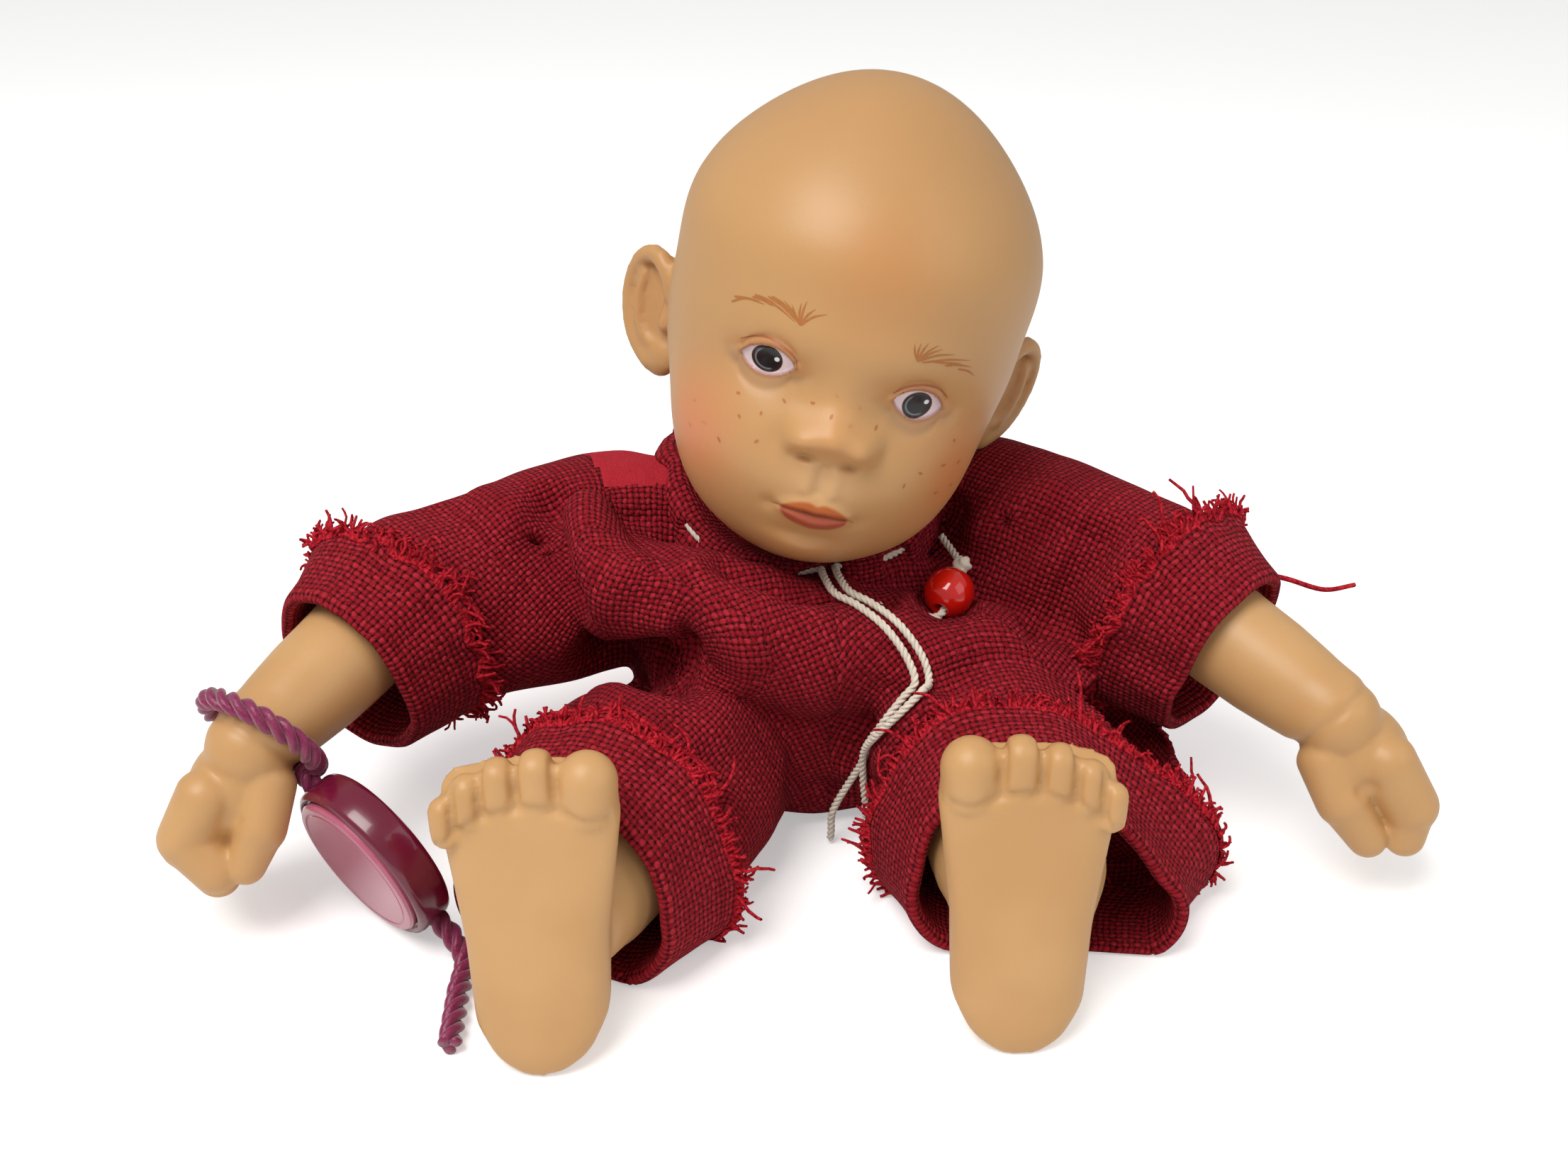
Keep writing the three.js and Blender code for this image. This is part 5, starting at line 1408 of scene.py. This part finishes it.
def buildFringe(name, side, kind):
    form = cuffForm[kind]
    dice = np.random.default_rng(11 + side + (0 if kind == "arm" else 40))
    points, quads = [], []
    edge, out, along = cuffRing(side, kind, form["raw"] + 0.6, 2.8, 720, 1.0)
    for k in range(form["threads"]):
        i = int((k + dice.uniform(-0.5, 0.5)) * 720 / form["threads"]) % 720
        longer = dice.uniform(*form["reach"]) + (dice.random() < 0.06) * dice.uniform(2, 5)
        sideways = np.cross(along, out[i])
        heading = unit(-along + out[i] * dice.uniform(0.1, 1.1) + sideways * dice.uniform(-0.7, 0.7))
        curl = dice.normal(0, 0.8, 3)
        line = [edge[i] + along * 0.8]
        for s in range(6):
            heading = unit(heading + dice.normal(0, 0.24, 3) + curl * 0.25 * s / 3)
            spot = line[-1] + heading * longer / 6
            spot[2] = max(spot[2], 0.45)
            line.append(spot)
        yarn(points, quads, np.array(line), cuffForm["thread"])
    for k in range(3):  # yarns that lie along the raw edge, half pulled out
        start, length = dice.integers(0, 720), int(dice.uniform(110, 300))
        marks = np.arange(start, start + length, 9) % 720
        drift = waves(np.column_stack([marks * 0.05, marks * 0 + k, marks * 0]), 1.0, 31 + k)
        pulled = along * (0.4 + 1.2 * k * 0.5 + drift * 0.7)[:, None]
        line = edge[marks] + out[marks] * (0.7 + 0.4 * drift)[:, None] - pulled
        line[:, 2] = np.maximum(line[:, 2], 0.5)
        yarn(points, quads, line, cuffForm["thread"] * 1.2, 0.9)
    for line in cuffForm["strays"].get((kind, side), []):
        yarn(points, quads, curveThrough(line, 1.0), cuffForm["thread"] * 1.25, 0.9)
    return madeOf(name, points, quads)


def buildCuff(side, kind):
    form, word = cuffForm[kind], ("right" if side < 0 else "left")
    count, long = form["count"], form["fold"] - form["raw"]
    dense = curveThrough([(a * long, b, 0) for a, b in cuffForm["profile"]], 0.7)
    edge = np.clip(1 - np.linspace(0, 1, len(dense)) * 6, 0, 1)
    rings = np.array([cuffRing(side, kind, form["raw"] + a, grow, count, frayed)[0]
                      for (a, grow, _), frayed in zip(dense, edge)])
    rows = len(rings)
    faces = [(r * count + i, (r + 1) * count + i, (r + 1) * count + (i + 1) % count, r * count + (i + 1) % count)
             for r in range(rows - 1) for i in range(count)]
    cuff = madeOf(word + ("SleeveCuff" if kind == "arm" else "TrouserCuff"), rings.reshape(-1, 3), faces)
    around = np.linalg.norm(np.roll(rings, -1, 1) - rings, axis=2)
    u = np.concatenate([np.zeros((rows, 1)), np.cumsum(around, axis=1)], axis=1).mean(0)
    run = np.concatenate([[0], np.cumsum(np.linalg.norm(np.diff(rings, axis=0), axis=2).mean(1))])
    layer = cuff.data.uv_layers.new(name="threads")
    spots = [(u[i + a], run[r + b]) for r in range(rows - 1) for i in range(count)
             for a, b in ((0, 0), (0, 1), (1, 1), (1, 0))]
    layer.data.foreach_set("uv", (np.array(spots) / romperForm["pitch"]).astype(np.float32).ravel())
    modify(cuff, "SOLIDIFY", thickness=cuffForm["cloth"], offset=0)
    dress(inMetres(cuff), weaveLook)
    body = word + ("_arm" if kind == "arm" else "_thigh")
    fringe = buildFringe(cuff.name + "Fringe", side, kind)
    dress(inMetres(fringe), threadLook)
    for piece in (cuff, fringe):
        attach(piece, body)
    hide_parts(word + ("_sleeve_cuff" if kind == "arm" else "_trouser_cuff"))
    declareCloth(cuff, (u[-1], run[-1]))


for side in (-1, 1):
    for kind in ("arm", "leg"):
        buildCuff(side, kind)
print("cuffs and fringes made")

# gathered edge: the drawstring runs in and out of it, and it turns in under the chin
ruffleForm = {
    "count": 420, "gather": 0.7,
    # off the string and over it; the last rows turn in to the neck
    "rows": [(1.7, -3.6), (1.5, -2.4), (1.2, -1.2), (1.15, -0.4), (1.15, 0.4), (0.9, 1.3), (0.2, 2.4), (-0.7, 3.2),
             (-1.7, 3.3), (-2.6, 2.5), (-3.8, 1.2), (-5.6, -0.2), (-8.4, -1.4), (-11.2, -2.2)],
    "open": [(-96, 9), (-118, 7), (-152, 5), (-62, 6), (-20, 5), (20, 5), (60, 5), (100, 5), (140, 5), (178, 5)],
}
count = ruffleForm["count"]
t = np.linspace(-math.pi, math.pi, count, endpoint=False)
stringX, stringY = -4.6, 2.9  # middle of the drawstring's round
roundPath = curveThrough(stringCord["round"], 0.5) - [stringX, stringY, 0]
roundPath = roundPath[np.argsort(np.arctan2(roundPath[:, 1], roundPath[:, 0]))]
roundAngle = np.arctan2(roundPath[:, 1], roundPath[:, 0])
stringRadius = np.interp(t, roundAngle, np.hypot(roundPath[:, 0], roundPath[:, 1]), period=2 * math.pi)
stringHeight = np.interp(t, roundAngle, roundPath[:, 2], period=2 * math.pi)
covered = np.ones(count)  # where the cloth passes over the string, else it passes behind
for degrees, half in ruffleForm["open"]:
    away = np.abs((np.degrees(t) - degrees + 180) % 360 - 180)
    covered *= ease(away, half - 1.5, half + 2.5)
around = np.column_stack([np.cos(t), np.sin(t), t * 0]) * 23
gather = waves(around, 3.6, 9) + 0.5 * waves(around, 2.0, 12)  # uneven gathers, not a frill
tall = 0.35 + 0.65 * ease(np.sin(t), -0.75, 0.1)  # low under the chin
rings = []
for k, (off, rise) in enumerate(ruffleForm["rows"]):
    share = k / (len(ruffleForm["rows"]) - 1)
    behind = np.exp(-(rise / 1.5) ** 2) * (1 - covered) * (2.7 if k < 8 else 0)
    swell = 0.5 + 0.7 * math.sin(math.pi * min(1, share * 1.4))
    r = stringRadius + off - behind + ruffleForm["gather"] * gather * swell
    height = stringHeight + (rise * tall if rise > 0 else rise) + 0.5 * waves(around, 5, 2) * share
    rings.append(np.column_stack([stringX + np.cos(t) * r, stringY + np.sin(t) * r, height]))
rings = np.array(rings)
rows = len(rings)
ruffle = madeOf("neckRuffle", rings.reshape(-1, 3),
                [(r * count + i, r * count + (i + 1) % count, (r + 1) * count + (i + 1) % count, (r + 1) * count + i)
                 for r in range(rows - 1) for i in range(count)])
layer = ruffle.data.uv_layers.new(name="threads")
rise = np.concatenate([[0], np.cumsum(np.linalg.norm(np.diff(rings, axis=0), axis=2).mean(1))])
spots = [((i + a) * 23 * 2 * math.pi / count, rise[r + b]) for r in range(rows - 1) for i in range(count)
         for a, b in ((0, 0), (1, 0), (1, 1), (0, 1))]
layer.data.foreach_set("uv", (np.array(spots) / romperForm["pitch"]).astype(np.float32).ravel())
modify(ruffle, "SOLIDIFY", thickness=0.9, offset=0)
dress(inMetres(ruffle), weaveLook)
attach(ruffle, "torso")
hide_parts("neck_ruffle")
declareCloth(ruffle, (2 * math.pi * 27, rise[-1]))
print("neckline gathered")

# glossy bead with its hole, on the cord
beadForm = {"at": beadAt, "axis": (0.609, 0.7059, 0.3615), "radius": 4.05, "hole": 0.95}
halfProfile = [(beadForm["radius"], 0), (3.9, 1.2), (3.3, 2.5), (2.4, 3.4), (1.5, 3.9),
               (beadForm["hole"] + 0.15, 3.75), (beadForm["hole"], 3.3)]
profile = [(a, -b) for a, b in halfProfile[:0:-1]] + halfProfile
profile = curveThrough([(a, b, 0) for a, b in profile], 0.3)[:, :2]
t = np.linspace(0, 2 * math.pi, 64, endpoint=False)
turn = axesOf(beadForm["axis"], (0.2, 0.3, 0.9))
rings = [np.column_stack([np.cos(t) * r, np.sin(t) * r, t * 0 + h]) @ turn.T + beadForm["at"] for r, h in profile]
rows = len(rings)
bead = madeOf("redBead", np.vstack(rings),
              [(r * 64 + i, r * 64 + (i + 1) % 64, (r + 1) % rows * 64 + (i + 1) % 64, (r + 1) % rows * 64 + i)
               for r in range(rows) for i in range(64)])
beadLook, beadTree, beadShader = finishOf("redGlaze", roughness=0.14)
cloud = specks(beadTree, objectPlace(beadTree), 240, 2)
beadTree.links.new(mixed(beadTree, cloud, tint(196, 14, 6), tint(226, 30, 14)), beadShader.inputs["Base Color"])
beadShader.inputs["Coat Weight"].default_value = 0.6
beadShader.inputs["Coat Roughness"].default_value = 0.05
dress(inMetres(bead), beadLook)
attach(bead, "bead")
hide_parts("bead")

# round tag: glossy crimson body, paler face with a rim line
tagForm = {"at": (-80.2, -36.6, 14), "face": (-0.795, -0.538, -0.278), "along": (0.598, -0.494, -0.631), "bore": -0.3}
tagAxes = axesOf(tagForm["face"], tagForm["along"])


def turnedPiece(name, profile, sides, turn, at):  # a profile of radius and height turned about z
    t = np.linspace(0, 2 * math.pi, sides, endpoint=False)
    rings = [np.column_stack([np.cos(t) * r, np.sin(t) * r, t * 0 + h]) @ turn.T + np.array(at) for r, h in profile]
    return skin(name, rings)


tagBody = turnedPiece("tagBody", [(0.2, -3), (12.2, -3), (12.9, -2.9), (13.35, -2.55), (13.6, -1.9), (13.6, 1.9),
                                  (13.4, 2.6), (13.0, 2.95), (12.65, 3.0), (12.4, 2.8), (12.4, 2.4), (0.2, 2.4)],
                      96, tagAxes, tagForm["at"])
bore = rod(np.array(tagForm["at"]) - tagAxes[:, 0] * 20 + tagAxes[:, 2] * tagForm["bore"],
           np.array(tagForm["at"]) + tagAxes[:, 0] * 20 + tagAxes[:, 2] * tagForm["bore"], 2.05, 2.05)
modify(tagBody, "BOOLEAN", operation="DIFFERENCE", object=bore, solver="EXACT")
bpy.data.objects.remove(bore)
tagFace = turnedPiece("tagFace", [(0.2, 2.75), (12.05, 2.75), (12.05, 3.3), (11.75, 3.7), (11.3, 3.8), (10.75, 3.8),
                                  (10.6, 3.66), (10.42, 3.66), (10.27, 3.8), (6, 3.84), (0.2, 3.86)],
                      96, tagAxes, tagForm["at"])


def plasticFinish(name, dark, light, roughness, clear):
    made, tree, shader = finishOf(name, roughness=roughness)
    cloud = specks(tree, objectPlace(tree), 130, 2)
    colourBy(tree, shader, mixed(tree, cloud, tint(*dark), tint(*light)))
    shader.inputs["Coat Weight"].default_value = clear
    shader.inputs["Coat Roughness"].default_value = 0.08
    lift(tree, shader, specks(tree, objectPlace(tree), 900, 2), 0.00003, 0.3)
    return made


for piece, node, look in ((tagBody, "tag_body", plasticFinish("tagCrimson", (96, 10, 40), (120, 16, 52), 0.24, 0.5)),
                          (tagFace, "tag_face", plasticFinish("tagPink", (176, 84, 112), (188, 98, 124), 0.3, 0.7))):
    piece.data.transform(Matrix.Scale(mm, 4))
    takeHold(piece)
    bpy.ops.object.shade_smooth_by_angle(angle=math.radians(35))
    dress(piece, look)
    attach(piece, "tag")
    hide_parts(node)
print("bead and tag made")

# inside: stuffed cotton body, cotton stubs and the nylon ties


def cottonFinish():
    made, tree, shader = finishOf("bodyCotton", roughness=0.92)
    place = objectPlace(tree)
    knit = add(tree, "ShaderNodeTexWave",
               {"Vector": place, "Scale": 420, "Distortion": 1.5, "Detail": 2.0}).outputs["Fac"]
    colourBy(tree, shader, mixed(tree, knit, tint(206, 184, 156), tint(228, 208, 182)))
    lift(tree, shader, knit, 0.00015, 0.6)
    return made


def nylonFinish():
    made, tree, shader = finishOf("nylonTie", roughness=0.4)
    cloud = specks(tree, objectPlace(tree), 300, 2)
    colourBy(tree, shader, mixed(tree, cloud, tint(226, 226, 220), tint(240, 240, 236)))
    return made


def fillingFinish():
    made, tree, shader = finishOf("fibreFilling", roughness=0.95)
    fluff = specks(tree, objectPlace(tree), 260, 5)
    colourBy(tree, shader, mixed(tree, fluff, tint(214, 212, 206), tint(244, 243, 240)))
    lift(tree, shader, fluff, 0.0008, 0.8)
    return made


cottonLook, nylonLook, fillingLook = cottonFinish(), nylonFinish(), fillingFinish()
softNodes = {"torso_cloth": ("torso", cottonLook), "neck_cloth": ("neck", cottonLook),
             "torso_filling": ("torso", fillingLook)}
for word in ("right", "left"):
    softNodes[word + "_upper_arm_cloth"] = (word + "_upper_arm", cottonLook)
    softNodes[word + "_thigh_cloth"] = (word + "_thigh", cottonLook)
for node, (body, look) in softNodes.items():  # each solid is rounded into cloth: split fine, smoothed and gathered
    solid = bpy.data.objects[node]
    soft = madeOf(node + "Soft", pointsOf(solid) / mm, [tuple(f.vertices) for f in solid.data.polygons])
    modify(soft, "REMESH", mode="VOXEL", voxel_size=0.5 if node != "torso_filling" else 0.9, adaptivity=0)
    relax(soft, 8)
    q, away = pointsOf(soft), normalsOf(soft)
    setPoints(soft, q + away * (0.12 * waves(q, 2.2, 4) - 0.1)[:, None])
    dress(inMetres(soft), look)
    if "upper_arm" in node or "thigh" in node:  # the cotton stubs stay where they lie and are not attached to a body
        side, kind = (-1 if node.startswith("right") else 1), ("arm" if "upper_arm" in node else "leg")
        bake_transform(soft)
    else:
        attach(soft, body)
    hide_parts(node)
for node in ["neck_tie"] + [f"{word}_{limb}_tie" for word in ("right", "left") for limb in ("arm", "leg")]:
    dress(bpy.data.objects[node], nylonLook)
print("inner body made")

# floor and soft light
studio = {"lift": 0.4, "key": 6.0, "fill": 1.1, "world": 0.4}
letGo()
bpy.ops.mesh.primitive_plane_add(size=8, location=(0, 0, 0))
floor = bpy.context.object
floor.name = "floor"
floorLook, floorTree, floorShader = finishOf("paleFloor", roughness=0.9)
floorPlace = objectPlace(floorTree)
floorTone = mixed(floorTree, specks(floorTree, floorPlace, 3, 1), tint(246, 246, 246), tint(250, 250, 250))
floorTree.links.new(floorTone, floorShader.inputs["Base Color"])
floorShader.inputs["Specular IOR Level"].default_value = 0.1
seen = add(floorTree, "ShaderNodeLightPath").outputs["Is Camera Ray"]
floorTree.links.new(sum2(floorTree, "MULTIPLY", seen, studio["lift"]), floorShader.inputs["Emission Strength"])
floorShader.inputs["Emission Color"].default_value = (1, 1, 1, 1)
dress(floor, floorLook)


def lamp(name, at, size, energy, colour=(1, 1, 1)):
    letGo()
    bpy.ops.object.light_add(type="AREA", location=at)
    light = bpy.context.object
    light.name = name
    light.data.energy = energy
    light.data.size = size
    light.data.color = colour
    light.rotation_euler = (Vector((0, -0.02, 0.05)) - Vector(at)).to_track_quat("-Z", "Y").to_euler()


lamp("keyLight", (-0.34, -0.26, 0.8), 0.5, studio["key"], (1, 0.985, 0.96))
lamp("fillLight", (0.55, -0.5, 0.55), 0.6, studio["fill"], (1, 0.99, 0.98))
world = bpy.data.worlds.new("studio")
bpy.context.scene.world = world
world.use_nodes = True
world.node_tree.nodes["Background"].inputs["Color"].default_value = (1, 1, 1, 1)
toCamera = add(world.node_tree, "ShaderNodeLightPath").outputs["Is Camera Ray"]
strength = sum2(world.node_tree, "MULTIPLY_ADD", toCamera, 1 - studio["world"], studio["world"])
world.node_tree.links.new(strength, world.node_tree.nodes["Background"].inputs["Strength"])
bpy.context.scene.view_settings.view_transform = "Standard"
